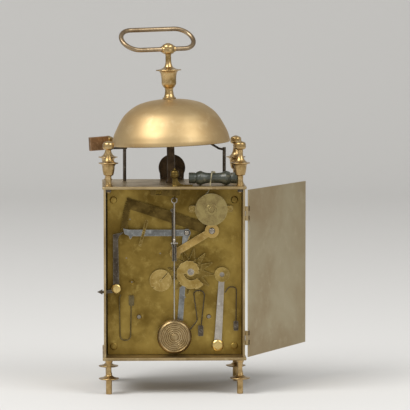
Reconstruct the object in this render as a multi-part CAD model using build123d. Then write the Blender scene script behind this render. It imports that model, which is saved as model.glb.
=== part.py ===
from build123d import *

import os
from math import acos, atan2, cos, degrees, hypot, pi, radians, sin, sqrt, tan

# A small brass travelling clock of the lantern family, stood with its rear door open.
# X runs to the right seen from the rear, Y runs from the rear door to the dial, Z is up.
# The origin is the middle of the case on the surface it stands on. All sizes are in mm.

# ---- case ----
case_width = 121.5
case_depth = 94.5
feet_height = 28.8
bottom_plate_thickness = 2.5
body_height = 142.5
top_plate_thickness = 2.4
panel_thickness = 1.7
plate_overhang = 1.2
corner_inset = 5.25
plate_edge_round = 0.7
stud_radius = 1.5
running_gap = 0.05
piece_gap = 0.3
tenon_length = 14.0
tenon_spread = 26.0

# ---- rear door and its hinges ----
door_thickness = 1.2
door_edge_gap = 0.4
knuckle_radius = 1.3
hinge_pin_radius = 0.6
hinge_knuckle_length = 4.0
upper_hinge_height = 153.5
lower_hinge_height = 48.0
door_open_angle = 242.5

# ---- feet and finials ----
foot_disc_radius = 8.4
foot_peg_radius = 2.55
foot_disc_height = 13.1
finial_cup_radius = 5.3
finial_rim_radius = 8.2
finial_ball_radius = 4.7
finial_height = 38.2
nut_width = 4.5
nut_thickness = 2.4

# ---- bell stand ----
stand_lean = 1.4
post_offset = -1.5
post_radius = 3.4
bell_radius = 50.6
bell_rim_rise = 33.5
bell_height = 38.4
bell_wall = 2.0
bell_lip = 2.8
bell_own_lean = 0.9
bell_stud_radius = 2.4
vase_height = 42.5
vase_ball_radius = 5.2
vase_rim_radius = 10.6
handle_rod_radius = 2.0
handle_end_radius = 12.9
handle_length = 71.0
handle_offset = -5.0
handle_yaw = 25.0
handle_tilt = 50.0
handle_seat_depth = 2.4
lug_radius = 2.7

# ---- hammers ----
hammer_rod_radius = 1.45
strike_rod_x = -41.3
strike_head_reach = 22.5
strike_head_size = (16.5, 5.0, 11.5)
strike_head_angle = 199.5
strike_head_height = 209.0
strike_head_dip = 3.0
alarm_rod_place = (44.2, 12.7)
alarm_rod_top = 206.0
alarm_arm_angle = 150.0
alarm_pin_circle = 8.0
hammer_pivot_height = 121.0
alarm_pivot_height = 150.0

# ---- movement frame ----
back_plate_recess = 22.0
movement_plate_thickness = 2.2
movement_side_gap = 1.0
movement_shift = 0.55
motion_work_space = 9.2
pillar_radius = 2.6
pillar_side_inset = 5.55
pillar_low_inset = 7.4
pillar_high_inset = 10.3
barrel_end_room = 26.0

# ---- arbors, as places (X, Z) on the plates ----
going_barrel_place = (29.6, 63.8)
strike_barrel_place = (-29.8, 63.8)
second_place = (9.5, 80.5)
hour_cam_place = (-11.4, 95.3)
escape_place = (-1.5, 138.1)
pallet_place = (-1.5, 155.2)
pin_wheel_place = (-35.8, 93.6)
strike_second_place = (-40.4, 114.0)
gathering_place = (-37.1, 131.5)
fly_place = (-37.3, 147.0)
star_place = (14.1, 102.5)
rack_place = (32.0, 137.6)
drum_place = (31.3, 156.1)
rack_hook_place = (-49.1, 88.1)
lifting_place = (10.7, 135.8)
jumper_place = (37.1, 39.6)
third_wheel_reach = 22.6
dial_centre_height = 104.2

# ---- teeth ----
barrel_radius = 18.5
barrel_teeth = 84
barrel_pinion_leaves = 12
second_wheel_teeth = 72
centre_pinion_leaves = 10
centre_wheel_teeth = 88
third_pinion_leaves = 8
third_wheel_teeth = 96
escape_pinion_leaves = 6
escape_teeth = 30
pin_wheel_teeth = 72
fine_pinion_leaves = 8
strike_second_teeth = 56
gathering_wheel_teeth = 48
fly_leaves = 6
motion_teeth = 24
hour_pinion_leaves = 6
hour_wheel_teeth = 72
star_points = 12
hammer_pins = 8
hammer_pin_circle = 17.2
finger_swing = 0.6
wheel_thickness = 1.2
pinion_length = 5.0
arbor_radius = 0.9
arbor_end_shake = 0.4
pivot_radius = 0.6
barrel_pivot_radius = 1.6
stud_screw_radius = 1.5

# ---- strike work on the back plate ----
star_radius = 19.7
star_root_radius = 11.2
star_phase = 82.0
snail_radius = 15.3
snail_fall_angle = 315.0
rack_radius = 77.0
rack_band = 6.0
rack_low_angle = 182.7
rack_high_angle = 158.7
rack_tooth_angle = 1.5
rack_fall_angle = 17.5
rack_tail_reach = 33.2
rack_tail_angle = 210.7
hour_cam_radius = 9.3
roller_radius = 6.3
jumper_length = 60.7
lever_thickness = 1.4
spring_wire_radius = 0.45
star_level = 1.2
snail_level = 3.3
rack_level = 1.2
cam_level = 3.0
lifting_level = 4.3
tail_level = 6.0
hook_level = 1.2
jumper_level = 2.4

# ---- pendulum ----
pendulum_level = 11.3
pendulum_pivot_height = 165.6
bob_height = 48.2
bob_radius = 14.6
bob_thickness = 10.0
pendulum_rod_radius = 0.75
crutch_block_height = 119.2

# ---- pull wind, cord and toggle ----
drum_disc_radius = 13.6
drum_disc_level = 11.4
drum_radius = 10.2
drum_flange_level = 6.4
drum_arbor_radius = 1.4
cord_radius = 0.55
cord_hole_place = (29.9, -37.6)
toggle_length = 41.5
toggle_radius = 6.05
toggle_place = (33.3, -29.4)

# ---- dial side ----
dial_radius = 48.5
dial_rise = 3.4
bezel_radius = 53.5
alarm_disc_radius = 15.0
minute_hand_length = 43.0
hour_hand_length = 29.0
hand_stud_radius = 1.1
cannon_radius = 1.9
hour_radius = 2.7
alarm_radius = 3.5

# ---- levels that follow from the sizes above ----
rear_y = -case_depth / 2
front_y = case_depth / 2
floor_z = feet_height + bottom_plate_thickness
ceiling_z = floor_z + body_height
roof_z = ceiling_z + top_plate_thickness
panel_outer_x = case_width / 2 - plate_overhang
panel_inner_x = panel_outer_x - panel_thickness
front_panel_y = front_y - plate_overhang - panel_thickness
panel_rear_edge = rear_y + door_thickness + door_edge_gap
corner_x = case_width / 2 - corner_inset
corner_y = case_depth / 2 - corner_inset
corners = [(sx * corner_x, sy * corner_y) for sx in (-1, 1) for sy in (-1, 1)]
hinge_x = case_width / 2 + 0.25
hinge_y = rear_y + 0.2
back_plate_y = rear_y + back_plate_recess
train_rear_y = back_plate_y + movement_plate_thickness
plates_apart = front_panel_y - motion_work_space - movement_plate_thickness - train_rear_y
train_front_y = train_rear_y + plates_apart
front_plate_outer_y = train_front_y + movement_plate_thickness
bell_rim_z = roof_z + bell_rim_rise
bell_top_z = bell_rim_z + bell_height
ball_z = bell_top_z + vase_height
movement_width = 2 * (panel_inner_x - movement_side_gap)
pillar_spread = movement_width / 2 - pillar_side_inset
pillar_low = floor_z + pillar_low_inset
pillar_high = ceiling_z - pillar_high_inset
barrel_length = plates_apart - barrel_end_room
escape_wheel_y = train_rear_y + 7.0
third_wheel_y = train_rear_y + 17.0
centre_wheel_y = train_front_y - 12.0
second_wheel_y = train_front_y - 5.0
going_great_y = train_front_y - 14.0
strike_great_y = train_rear_y + 7.5
pin_wheel_y = train_front_y - 10.0
strike_second_y = train_rear_y + 20.0
gathering_wheel_y = train_front_y - 18.0
alarm_wheel_y = alarm_rod_place[1] - 3.0
strike_rod_place = (strike_rod_x, pin_wheel_y + 3.05)
dial_y = front_panel_y + panel_thickness + 0.1
alarm_disc_y = dial_y + dial_rise + 1.7
hour_hand_y = alarm_disc_y + 1.8
minute_hand_y = hour_hand_y + 1.9
cannon_bore = hand_stud_radius + running_gap
hour_bore = cannon_radius + running_gap
alarm_bore = hour_radius + running_gap


# ================= small helpers =================
def seen_from_rear(y):
    """A drawing plane at depth y whose sketch axes are X and Z and whose normal faces the rear."""
    return Plane(origin=(0, y, 0), x_dir=(1, 0, 0), z_dir=(0, -1, 0))


def slab(sketch, y_far, thickness):
    """A flat piece cut from a sketch of (X, Z), its far face at y_far and its near face nearer the rear."""
    pieces = extrude(seen_from_rear(y_far) * sketch, amount=thickness, dir=(0, -1, 0)).solids()
    return Part() + pieces


def level_slab(sketch, z_low, thickness):
    """A flat piece cut from a sketch of (X, Y), its underside at z_low."""
    return Pos(0, 0, z_low) * extrude(sketch, amount=thickness, dir=(0, 0, 1))


def on_plate(sketch, level, thickness):
    """A flat piece standing `level` off the rear face of the back plate."""
    return slab(sketch, back_plate_y - level, thickness)


def rod(place, radius, y_near, y_far):
    """A round bar along Y at the place (X, Z)."""
    return slab(Pos(*place) * Circle(radius), y_far, y_far - y_near)


def upright(place, radius, z_low, z_high):
    """A round bar along Z at the place (X, Y)."""
    return Pos(place[0], place[1], z_low) * extrude(Circle(radius), amount=z_high - z_low)


def polar(centre, radius, angle):
    """The point at a radius and an angle, seen from the rear, from a centre."""
    return (centre[0] + radius * cos(radians(angle)), centre[1] + radius * sin(radians(angle)))


def span(a, b):
    """Distance between two places."""
    return hypot(b[0] - a[0], b[1] - a[1])


def bearing(a, b):
    """Angle of b seen from a, in degrees."""
    return degrees(atan2(b[1] - a[1], b[0] - a[0]))


def tapered_bar(a, radius_a, b, radius_b):
    """The outline of a bar between two round ends, its sides tangent to both."""
    spread = degrees(acos((radius_a - radius_b) / span(a, b)))
    along = bearing(a, b)
    high_a = polar(a, radius_a, along + spread)
    high_b = polar(b, radius_b, along + spread)
    low_b = polar(b, radius_b, along - spread)
    low_a = polar(a, radius_a, along - spread)
    edges = [
        Line(high_a, high_b),
        ThreePointArc(high_b, polar(b, radius_b, along), low_b),
        Line(low_b, low_a),
        ThreePointArc(low_a, polar(a, radius_a, along + 180), high_a),
    ]
    return make_face(edges)


def turned(*points):
    """A lathe-turned solid about Z. Each point is (radius, height), and a third number bulges the
    stretch that leads to it outwards by so much, or hollows it where it is negative."""
    edges = []
    for start, end in zip(points, points[1:] + points[:1]):
        a = Vector(start[0], 0, start[1])
        b = Vector(end[0], 0, end[1])
        if len(end) == 3 and end is not points[0]:
            outwards = Vector(b.Z - a.Z, 0, a.X - b.X).normalized()
            edges.append(ThreePointArc(a, (a + b) * 0.5 + outwards * end[2], b))
        else:
            edges.append(Line(a, b))
    return revolve(Face(Wire(edges)), Axis.Z)


def wire(points, bend_radius, radius):
    """A round wire through straight runs joined by arcs."""
    path = FilletPolyline(*points, radius=bend_radius)
    return sweep(Plane(origin=path @ 0, z_dir=path % 0) * Circle(radius), path=path)


def toothed(place, teeth, tip, root, tip_share, root_share, phase):
    """A disc with straight-flanked teeth, one of them centred at the angle `phase`."""
    pitch = 360 / teeth
    outline = []
    for number in range(teeth):
        middle = phase + number * pitch
        outline.append(polar(place, root, middle - root_share * pitch / 2))
        outline.append(polar(place, tip, middle - tip_share * pitch / 2))
        outline.append(polar(place, tip, middle + tip_share * pitch / 2))
        outline.append(polar(place, root, middle + root_share * pitch / 2))
    return Polygon(*outline, align=None)


def crossings(place, inner, outer, arms, arm_width):
    """The windows between the arms of a crossed-out wheel."""
    ring = Pos(*place) * (Circle(outer) - Circle(inner))
    for number in range(arms):
        turn = Pos(*place) * Rot(0, 0, 360 * number / arms)
        ring -= turn * Pos(outer / 2, 0) * Rectangle(outer * 1.2, arm_width)
    return ring


def wheel_outline(place, mate, teeth, mate_leaves, phase_at_mate=True, arms=4):
    """A train wheel that meshes a pinion at `mate`, with a tooth on the line of centres."""
    module = 2 * span(place, mate) / (teeth + mate_leaves)
    pitch_radius = module * teeth / 2
    root = pitch_radius - 1.15 * module
    outline = toothed(place, teeth, pitch_radius + 0.7 * module, root, 0.18, 0.5, bearing(place, mate))
    if arms:
        outline -= crossings(place, root * 0.28, root - 1.8, arms, 2.0)
    return outline


def pinion_outline(place, mate, leaves, mate_teeth):
    """A pinion that meshes a wheel at `mate`, with a gap between leaves on the line of centres."""
    module = 2 * span(place, mate) / (leaves + mate_teeth)
    pitch_radius = module * leaves / 2
    phase = bearing(place, mate) + 180 / leaves
    root = pitch_radius - 1.2 * module
    return toothed(place, leaves, pitch_radius + 0.4 * module, root, 0.2, 0.4, phase)


def arbor(place):
    """A train arbor between the plates, with a thinner pivot running in a hole at each end."""
    body = rod(place, arbor_radius, train_rear_y + arbor_end_shake, train_front_y - arbor_end_shake)
    return body + rod(place, pivot_radius, back_plate_y, front_plate_outer_y)


# ================= case =================
def case_plate(thickness):
    """A plate with eased edges and mortises for the tenons of the three fixed panels."""
    outline = RectangleRounded(case_width, case_depth, 1.2)
    plate = extrude(outline, amount=thickness)
    rims = plate.faces().sort_by(Axis.Z)[-1].edges() + plate.faces().sort_by(Axis.Z)[0].edges()
    plate = fillet(rims, plate_edge_round)
    side_x = (panel_outer_x + panel_inner_x) / 2
    slot = panel_thickness + 2 * running_gap
    for along in (-tenon_spread, tenon_spread):
        for side in (-1, 1):
            mortise = Rectangle(slot, tenon_length + 2 * running_gap)
            plate -= Pos(side * side_x, along) * extrude(mortise, amount=thickness)
        mortise = Rectangle(tenon_length + 2 * running_gap, slot)
        plate -= Pos(along, front_panel_y + panel_thickness / 2) * extrude(mortise, amount=thickness)
    return plate


def bottom_plate():
    plate = case_plate(bottom_plate_thickness)
    for place in corners:
        plate -= Pos(*place) * extrude(Circle(stud_radius + running_gap), amount=bottom_plate_thickness)
    return Pos(0, 0, feet_height) * plate


def top_plate():
    plate = case_plate(top_plate_thickness)
    holes = [(place, stud_radius) for place in corners]
    holes.append(((post_offset, 0), bell_stud_radius + 0.1))
    holes.append((strike_rod_place, hammer_rod_radius))
    holes.append((alarm_rod_place, hammer_rod_radius))
    holes.append((cord_hole_place, cord_radius + 0.5))
    holes.append((cock_stud_place, stud_radius))
    for place, radius in holes:
        plate -= Pos(*place) * extrude(Circle(radius + running_gap), amount=top_plate_thickness)
    return Pos(0, 0, ceiling_z) * plate


def panel_with_tenons(start, end):
    """A case panel as a sketch of (across, Z), with tenons that pass through both plates."""
    outline = Pos((start + end) / 2, (floor_z + ceiling_z) / 2) * Rectangle(end - start, body_height)
    for along in (-tenon_spread, tenon_spread):
        reach = (feet_height + roof_z) / 2
        outline += Pos(along, reach) * Rectangle(tenon_length, roof_z - feet_height)
    return outline


def side_panel(side):
    """A side panel, from just inside the closed door to the front panel."""
    outline = panel_with_tenons(panel_rear_edge, front_panel_y - piece_gap)
    across = Plane(origin=(side * panel_inner_x, 0, 0), x_dir=(0, 1, 0), z_dir=(1, 0, 0))
    return extrude(across * outline, amount=side * panel_thickness)


def left_side_panel():
    """The left panel has an upright slot for the tail of the rack hook."""
    tail_y = back_plate_y - hook_level - lever_thickness / 2
    slot = Pos(-panel_outer_x, tail_y, rack_hook_place[1] - 3.2) * Box(6, lever_thickness + 0.8, 9.5)
    return side_panel(-1) - slot


def knuckle_spans(middle):
    """The three knuckles of one hinge as (low, high) heights: case, door, case."""
    half = hinge_knuckle_length / 2
    gap = running_gap
    return [
        (middle - 3 * half, middle - half - gap),
        (middle - half + gap, middle + half - gap),
        (middle + half + gap, middle + 3 * half),
    ]


def right_side_panel():
    """The right panel carries the outer knuckles of both hinges, with the pins riveted in them."""
    panel = side_panel(1)
    for middle in (upper_hinge_height, lower_hinge_height):
        spans = knuckle_spans(middle)
        for low, high in (spans[0], spans[2]):
            panel += upright((hinge_x, hinge_y), knuckle_radius, low, high)
            strap_x = (panel_inner_x + hinge_x) / 2
            strap = Pos(strap_x, (hinge_y + panel_rear_edge) / 2 + 0.1, (low + high) / 2)
            strap_size = (hinge_x - panel_inner_x, panel_rear_edge - hinge_y + 0.2, high - low)
            panel += strap * Box(*strap_size)
        panel += upright((hinge_x, hinge_y), hinge_pin_radius, spans[0][0], spans[2][1])
    return panel


def rear_door():
    """The door as it closes: flush in the opening, its inner face towards the dial, then swung open."""
    edge = knuckle_radius + piece_gap
    width = hinge_x - edge + panel_outer_x
    middle_x = hinge_x - edge - width / 2
    low = floor_z + door_edge_gap
    high = ceiling_z - door_edge_gap
    sheet_y = rear_y + door_thickness / 2
    sheet = Pos(middle_x, sheet_y, (low + high) / 2) * Box(width, door_thickness, high - low)
    rims = sheet.edges().filter_by(Axis.Z) + sheet.edges().filter_by(Axis.X)
    door = fillet(rims.group_by(Axis.Y)[0], 0.35)
    notch_depth = hinge_x - panel_inner_x + piece_gap
    for middle in (upper_hinge_height, lower_hinge_height):
        spans = knuckle_spans(middle)
        for start, end in (spans[0], spans[2]):
            notch = Box(2 * notch_depth, 2 * door_thickness + 2, end - start + 4 * running_gap)
            door -= Pos(hinge_x, sheet_y, (start + end) / 2) * notch
        start, end = spans[1]
        leaf = Box(edge + 0.2, door_thickness, end - start)
        door += Pos(hinge_x - edge / 2 - 0.1, sheet_y, (start + end) / 2) * leaf
        door += upright((hinge_x, hinge_y), knuckle_radius, start, end)
        door -= upright((hinge_x, hinge_y), hinge_pin_radius + running_gap, start, end)
    return door.rotate(Axis((hinge_x, hinge_y, 0), (0, 0, 1)), door_open_angle)


def front_panel():
    """The panel behind the dial, with a round opening for the motion work."""
    outline = panel_with_tenons(-panel_outer_x, panel_outer_x)
    outline -= Pos(0, dial_centre_height) * Circle(dial_radius - 22)
    return slab(outline, front_panel_y + panel_thickness, panel_thickness)


def front_crest():
    """The round crest on the front edge of the top plate, standing on a screwed foot."""
    crest_radius = 11.6
    centre_z = 186.3
    crest_y = front_y - 3.2
    neck = [(-10.6, centre_z - 4.4), (10.6, centre_z - 4.4), (10.2, roof_z), (-10.2, roof_z)]
    round_top = Pos(0, centre_z) * Circle(crest_radius) - Pos(0, roof_z - 20) * Rectangle(60, 40)
    outline = round_top + Polygon(*neck, align=None)
    disc = slab(outline, crest_y + 2.0, 2.0)
    dish = Pos(0, centre_z) * (Circle(crest_radius - 1.4) - Circle(crest_radius - 2.2))
    disc -= slab(dish, crest_y + 2.0, 0.4)
    foot = Pos(0, crest_y - 2.0, roof_z + 0.6) * Box(20.4, 6.5, 1.2)
    for side in (-1, 1):
        screw = turned((0, 0), (1.8, 0), (1.5, 1.0, 0.2), (0, 1.0))
        foot += Pos(side * 6.5, crest_y - 2.6, roof_z + 1.2) * screw
    return disc + foot


def corner_feet():
    """Four turned feet: a waisted stem, a thin dished disc and a plain peg, riveted into the plate."""
    foot = turned(
        (0, 0),
        (foot_peg_radius - 0.3, 0),
        (foot_peg_radius, 0.3),
        (foot_peg_radius, foot_disc_height - 0.6),
        (foot_disc_radius - 1.6, foot_disc_height - 0.6),
        (foot_disc_radius, foot_disc_height),
        (foot_disc_radius, foot_disc_height + 0.7, 0.2),
        (3.4, 15.6, -0.6),
        (2.75, 17.2, -0.4),
        (2.3, 24.6, -0.5),
        (3.2, feet_height - 1.2, -0.3),
        (3.2, feet_height),
        (stud_radius, feet_height),
        (stud_radius, floor_z),
        (0, floor_z),
    )
    return Compound([Pos(x, y, 0) * foot for x, y in corners])


def corner_finials():
    """Four turned finials, each a cup with a flared rim under a ball, on a stud through the roof."""
    finial = turned(
        (0, -top_plate_thickness - nut_thickness - 0.8),
        (stud_radius, -top_plate_thickness - nut_thickness - 0.8),
        (stud_radius, 0),
        (3.5, 0),
        (3.5, 0.8),
        (2.9, 1.8, -0.3),
        (2.5, 7.8, -0.3),
        (3.2, 9.2, -0.3),
        (4.3, 10.4, 0.3),
        (finial_cup_radius, 17.4, 0.25),
        (finial_cup_radius + 0.5, 18.2, 0.1),
        (finial_rim_radius, 19.3, -0.3),
        (finial_rim_radius, 20.0, 0.2),
        (3.4, 23.0, -0.9),
        (2.4, 29.6, -0.5),
        (2.5, 30.9, -0.2),
        (finial_ball_radius, 34.4, 1.1),
        (2.2, finial_height - 0.6, 1.0),
        (0.8, finial_height, 0.1),
        (0, finial_height),
    )
    return Compound([Pos(x, y, roof_z) * finial for x, y in corners])


def finial_nuts():
    """Square nuts that hold the finials under the roof."""
    nut = Box(nut_width, nut_width, nut_thickness) - Cylinder(stud_radius + running_gap, nut_thickness)
    nut = chamfer(nut.edges().filter_by(Axis.Z), 0.5)
    return Compound([Pos(x, y, ceiling_z - nut_thickness / 2) * nut for x, y in corners])


# ================= bell stand =================
def leaned(piece):
    """The bell stand leans a little to the left, about the foot of its post."""
    return piece.rotate(Axis((post_offset, 0, roof_z), (0, 1, 0)), -stand_lean)


def bell_post():
    """An iron post: foot on the roof, square-shouldered shaft, and a stud through bell and nut."""
    rise = bell_top_z - roof_z - bell_wall
    post = turned(
        (0, -top_plate_thickness),
        (bell_stud_radius, -top_plate_thickness),
        (bell_stud_radius, 0.12),
        (post_radius + 1.4, 0.12),
        (post_radius + 1.4, 1.6),
        (post_radius, 3.2, -0.4),
        (post_radius - 0.2, rise - 6),
        (post_radius + 1.2, rise - 2, -0.4),
        (post_radius + 1.2, rise - 3 * running_gap),
        (bell_stud_radius, rise - 3 * running_gap),
        (bell_stud_radius, rise + 10.4),
        (0, rise + 10.4),
    )
    flats = post_radius * 2 - 0.8
    keep = Pos(0, 0, rise / 2) * Box(40, flats, rise * 2 + 60)
    return leaned(Pos(post_offset, 0, roof_z) * (post & keep))


def bell():
    """A shallow cast bell with a thickened lip."""
    drops = [(0, 0), (22.0, 2.5), (37.2, 10.9), (45.9, 23.3), (bell_radius - 0.6, bell_height - 4.4)]
    outer = [(radius, bell_height - drop) for radius, drop in drops]
    inner = []
    for (radius, z), inwards in zip(outer, (0, 0.12, 0.6, 0.9, 1.0)):
        inner.append((max(0, radius - bell_wall * inwards), z - bell_wall * (1 - inwards)))
    outside = Spline([Vector(r, 0, z) for r, z in outer], tangents=[(1, 0, 0), (0.16, 0, -1)])
    inside = Spline([Vector(r, 0, z) for r, z in inner[::-1]], tangents=[(-0.16, 0, 1), (-1, 0, 0)])
    lip_middle = bell_radius - bell_lip / 2
    lip_inside = bell_radius - bell_lip
    lip = [
        Line(outside @ 1, Vector(bell_radius, 0, 1.2)),
        ThreePointArc(Vector(bell_radius, 0, 1.2), Vector(lip_middle, 0, 0), Vector(lip_inside, 0, 1.0)),
        Line(Vector(lip_inside, 0, 1.0), inside @ 0),
    ]
    profile = Wire([outside] + lip + [inside, Line(inside @ 1, outside @ 0)])
    shell = revolve(Face(profile), Axis.Z)
    shell -= Pos(0, 0, bell_height) * Cylinder(bell_stud_radius + 2 * running_gap, 12)
    shell = shell.rotate(Axis((0, 0, bell_height - bell_wall / 2), (0, 1, 0)), -bell_own_lean)
    return leaned(Pos(post_offset, 0, bell_rim_z) * shell)


def handle_frame():
    """The drawing plane of the handle: x along its pivot, y towards its far branch, tilted back."""
    yaw = radians(handle_yaw)
    tilt = radians(handle_tilt)
    along = Vector(cos(yaw), sin(yaw), 0)
    rise = Vector(-sin(yaw) * sin(tilt), cos(yaw) * sin(tilt), cos(tilt))
    return Plane(origin=(post_offset, 0, ball_z), x_dir=along, z_dir=along.cross(rise))


def bell_nut():
    """The turned vase nut that clamps the bell, with a ball whose two lugs carry the handle."""
    blind = 9.0
    nut = turned(
        (bell_stud_radius + running_gap, 0.1),
        (5.8, 0.1),
        (5.8, 1.2),
        (4.4, 2.6, -0.5),
        (3.7, 5.6, -0.2),
        (4.0, 9.6, -0.4),
        (5.4, 11.2, 0.2),
        (6.3, 14.2, 0.3),
        (7.1, 22.4, -0.3),
        (7.6, 23.4, 0.2),
        (vase_rim_radius, 24.2, -0.2),
        (vase_rim_radius, 25.0, 0.2),
        (3.6, 27.4, -0.6),
        (2.5, 35.0, -0.5),
        (2.8, 38.2, -0.3),
        (vase_ball_radius, vase_height, 1.4),
        (2.4, vase_height + vase_ball_radius - 0.6, 1.3),
        (0.8, vase_height + vase_ball_radius, 0.1),
        (0, vase_height + vase_ball_radius),
        (0, blind),
        (bell_stud_radius + running_gap, blind),
    )
    frame = handle_frame()
    lug_length = 1.2
    across = frame * Rot(0, 90, 0)
    nut = Pos(post_offset, 0, bell_top_z) * nut
    reach = vase_ball_radius + lug_length
    nut += across * Cylinder(lug_radius, 2 * reach)
    for side in (-1, 1):
        bore = Cylinder(handle_rod_radius + running_gap, handle_seat_depth * 2 + 0.4)
        nut -= frame * Pos(side * reach, 0, 0) * Rot(0, 90, 0) * bore
    return leaned(nut)


def carrying_handle():
    """One rod bent to a long oval, longer to the left, whose two ends enter the lugs of the ball."""
    start = vase_ball_radius + 1.2 - handle_seat_depth
    turn = handle_length / 2 - handle_rod_radius - handle_end_radius
    far = 2 * handle_end_radius
    right = turn + handle_offset
    left = -turn + handle_offset
    edges = [
        Line((start, 0), (right, 0)),
        ThreePointArc((right, 0), (right + handle_end_radius, handle_end_radius), (right, far)),
        Line((right, far), (left, far)),
        ThreePointArc((left, far), (left - handle_end_radius, handle_end_radius), (left, 0)),
        Line((left, 0), (-start, 0)),
    ]
    path = Wire(edges)
    loop = sweep(Plane(origin=(start, 0, 0), z_dir=(1, 0, 0)) * Circle(handle_rod_radius), path=path)
    return leaned(handle_frame() * loop)


# ================= hammers =================
def strike_hammer_arbor():
    """An upright steel arbor turning in the roof, with a flat arm at its top and a tail inside."""
    low = hammer_pivot_height
    top = strike_head_height - 3.0
    x, y = strike_rod_place
    piece = upright(strike_rod_place, hammer_rod_radius, low, top)
    arm_end = polar((x, y), strike_head_reach - strike_head_size[0] / 2 - 1.0, strike_head_angle)
    arm = tapered_bar((x, y), 2.2, arm_end, 1.6)
    piece += level_slab(arm, top - 2.2, 1.8)
    riser = upright(arm_end, 1.2, top - 2.2, strike_head_height)
    piece += riser
    tongue_end = polar((x, y), strike_head_reach - strike_head_size[0] / 2 + 2.4, strike_head_angle)
    tongue = tapered_bar(arm_end, 1.2, tongue_end, 1.0)
    piece += level_slab(tongue, strike_head_height - 1.2, 2.4)
    finger = (x - 5.8, y - 0.1)
    piece += level_slab(tapered_bar((x, y), 2.4, finger, 1.0), low + 1.6, 1.8)
    reach = pin_wheel_place[0] - finger[0] - 0.8 - finger_swing
    path_top = pin_wheel_place[1] + sqrt((hammer_pin_circle + 0.6) ** 2 - reach**2)
    return piece + upright(finger, 0.8, path_top + piece_gap, low + 2.4)


def strike_hammer_head():
    """The block that strikes the bell's rim from outside, driven on the arm's tongue."""
    length, width, height = strike_head_size
    block = Box(length, width, height)
    block = chamfer(block.edges().filter_by(Axis.Z), 0.5)
    middle = polar(strike_rod_place, strike_head_reach + 1.2, strike_head_angle)
    seat = Pos(middle[0], middle[1], strike_head_height) * Rot(0, 0, strike_head_angle)
    block = seat * Rot(0, strike_head_dip, 0) * block
    x, y = strike_rod_place
    arm_end = polar((x, y), strike_head_reach - length / 2 - 1.0, strike_head_angle)
    tongue_end = polar((x, y), strike_head_reach - length / 2 + 2.4, strike_head_angle)
    tongue = tapered_bar(arm_end, 1.2 + running_gap, tongue_end, 1.0 + running_gap)
    slot = level_slab(tongue, strike_head_height - 1.2 - running_gap, 2.4 + 2 * running_gap)
    riser = upright(arm_end, 1.2 + running_gap, strike_head_height - 8, strike_head_height + 2)
    return block - slot - riser


def alarm_hammer():
    """The alarm's upright arbor, its bent arm rising into the bell, a small head, and an inner tail."""
    x, y = alarm_rod_place
    piece = upright(alarm_rod_place, hammer_rod_radius, alarm_pivot_height, alarm_rod_top)
    route = [(0.0, -2.0), (5.0, -1.4), (13.0, 2.6), (18.0, 9.4)]
    points = [(*polar((x, y), out, alarm_arm_angle), alarm_rod_top + rise) for out, rise in route]
    piece += wire(points, 3.0, 0.95)
    head = polar((x, y), 18.0, alarm_arm_angle)
    piece += Pos(*head, alarm_rod_top + 10.6) * Rot(0, 90, alarm_arm_angle - 90) * Cylinder(2.8, 7.0)
    tail_length = x - drum_place[0] - alarm_pin_circle - 0.6 - piece_gap
    tail = tapered_bar((x, y), 2.0, (x - tail_length + 0.9, y), 0.9)
    return piece + level_slab(tail, drum_place[1] - 1, 2.0)


# ================= pendulum =================
cock_stud_place = (0.3, rear_y + 6.2)


def suspension_cock():
    """The cast cock on the rear edge of the roof: ogee foot, ball and tip, and a block under the
    roof with the hook on which the pendulum hangs."""
    x, y = cock_stud_place
    ball_r = 3.6
    tip = 191.4 - roof_z
    ball = turned(
        (0, 0),
        (3.0, 0),
        (2.2, 2.4, -0.3),
        (2.0, 6.6, -0.2),
        (ball_r, 10.6, 0.9),
        (1.3, 13.9, 0.9),
        (0.4, tip),
        (0, tip),
    )
    foot_outline = Polyline((-2.2, 0), (15.0, 0), (15.0, 1.2), (8.0, 1.3)) + [
        ThreePointArc((8.0, 1.3), (3.6, 3.4), (2.0, 8.0)),
        Line((2.0, 8.0), (-1.6, 8.0)),
        Line((-1.6, 8.0), (-2.2, 0)),
    ]
    foot = extrude(Plane.XZ.offset(-1.8) * make_face(foot_outline), amount=3.6)
    piece = Pos(x, y, roof_z) * (ball + foot)
    piece += upright((x, y), stud_radius, ceiling_z, roof_z)
    block_width = 24.6
    block_height = 5.4
    block = Box(block_width, 7.0, block_height) - Pos(-5.6, 0, 0) * Box(5.0, 12.0, 3.6)
    piece += Pos(x - 7.9, y, ceiling_z - block_height / 2) * block
    hook_y = back_plate_y - pendulum_level
    low = pendulum_pivot_height - 1.7
    points = [
        (x, y, ceiling_z - block_height + 0.6),
        (x, y, low),
        (x, hook_y + 2.4, low),
        (x, hook_y + 2.4, low + 3.0),
    ]
    return piece + wire(points, 1.1, 0.6)


def pendulum_rod():
    """A steel rod with an open loop at the top, a flared collar, and a thinner lower stretch."""
    y = back_plate_y - pendulum_level
    loop = 2.2
    ring = Pos(0, y, pendulum_pivot_height - loop + 0.55) * Rot(0, 90, 0) * Torus(loop, 0.6)
    ring = ring.rotate(Axis((0, y, 0), (0, 0, 1)), 90)
    top = pendulum_pivot_height - 2 * loop
    collar_z = 129.6
    low = bob_height + bob_radius - 2.5
    shaft = turned(
        (0, low),
        (pendulum_rod_radius - 0.1, low),
        (pendulum_rod_radius - 0.1, collar_z - 3.2),
        (2.1, collar_z - 2.6),
        (2.1, collar_z - 1.6),
        (pendulum_rod_radius + 0.2, collar_z - 0.8, -0.2),
        (1.5, collar_z + 0.6),
        (pendulum_rod_radius + 0.15, collar_z + 3.0, -0.3),
        (pendulum_rod_radius, top + 0.4),
        (0, top + 0.4),
    )
    cross = Pos(0, y, collar_z - 2.1) * Box(5.6, 1.6, 1.2)
    return ring + Pos(0, y, 0) * shaft + cross


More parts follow.
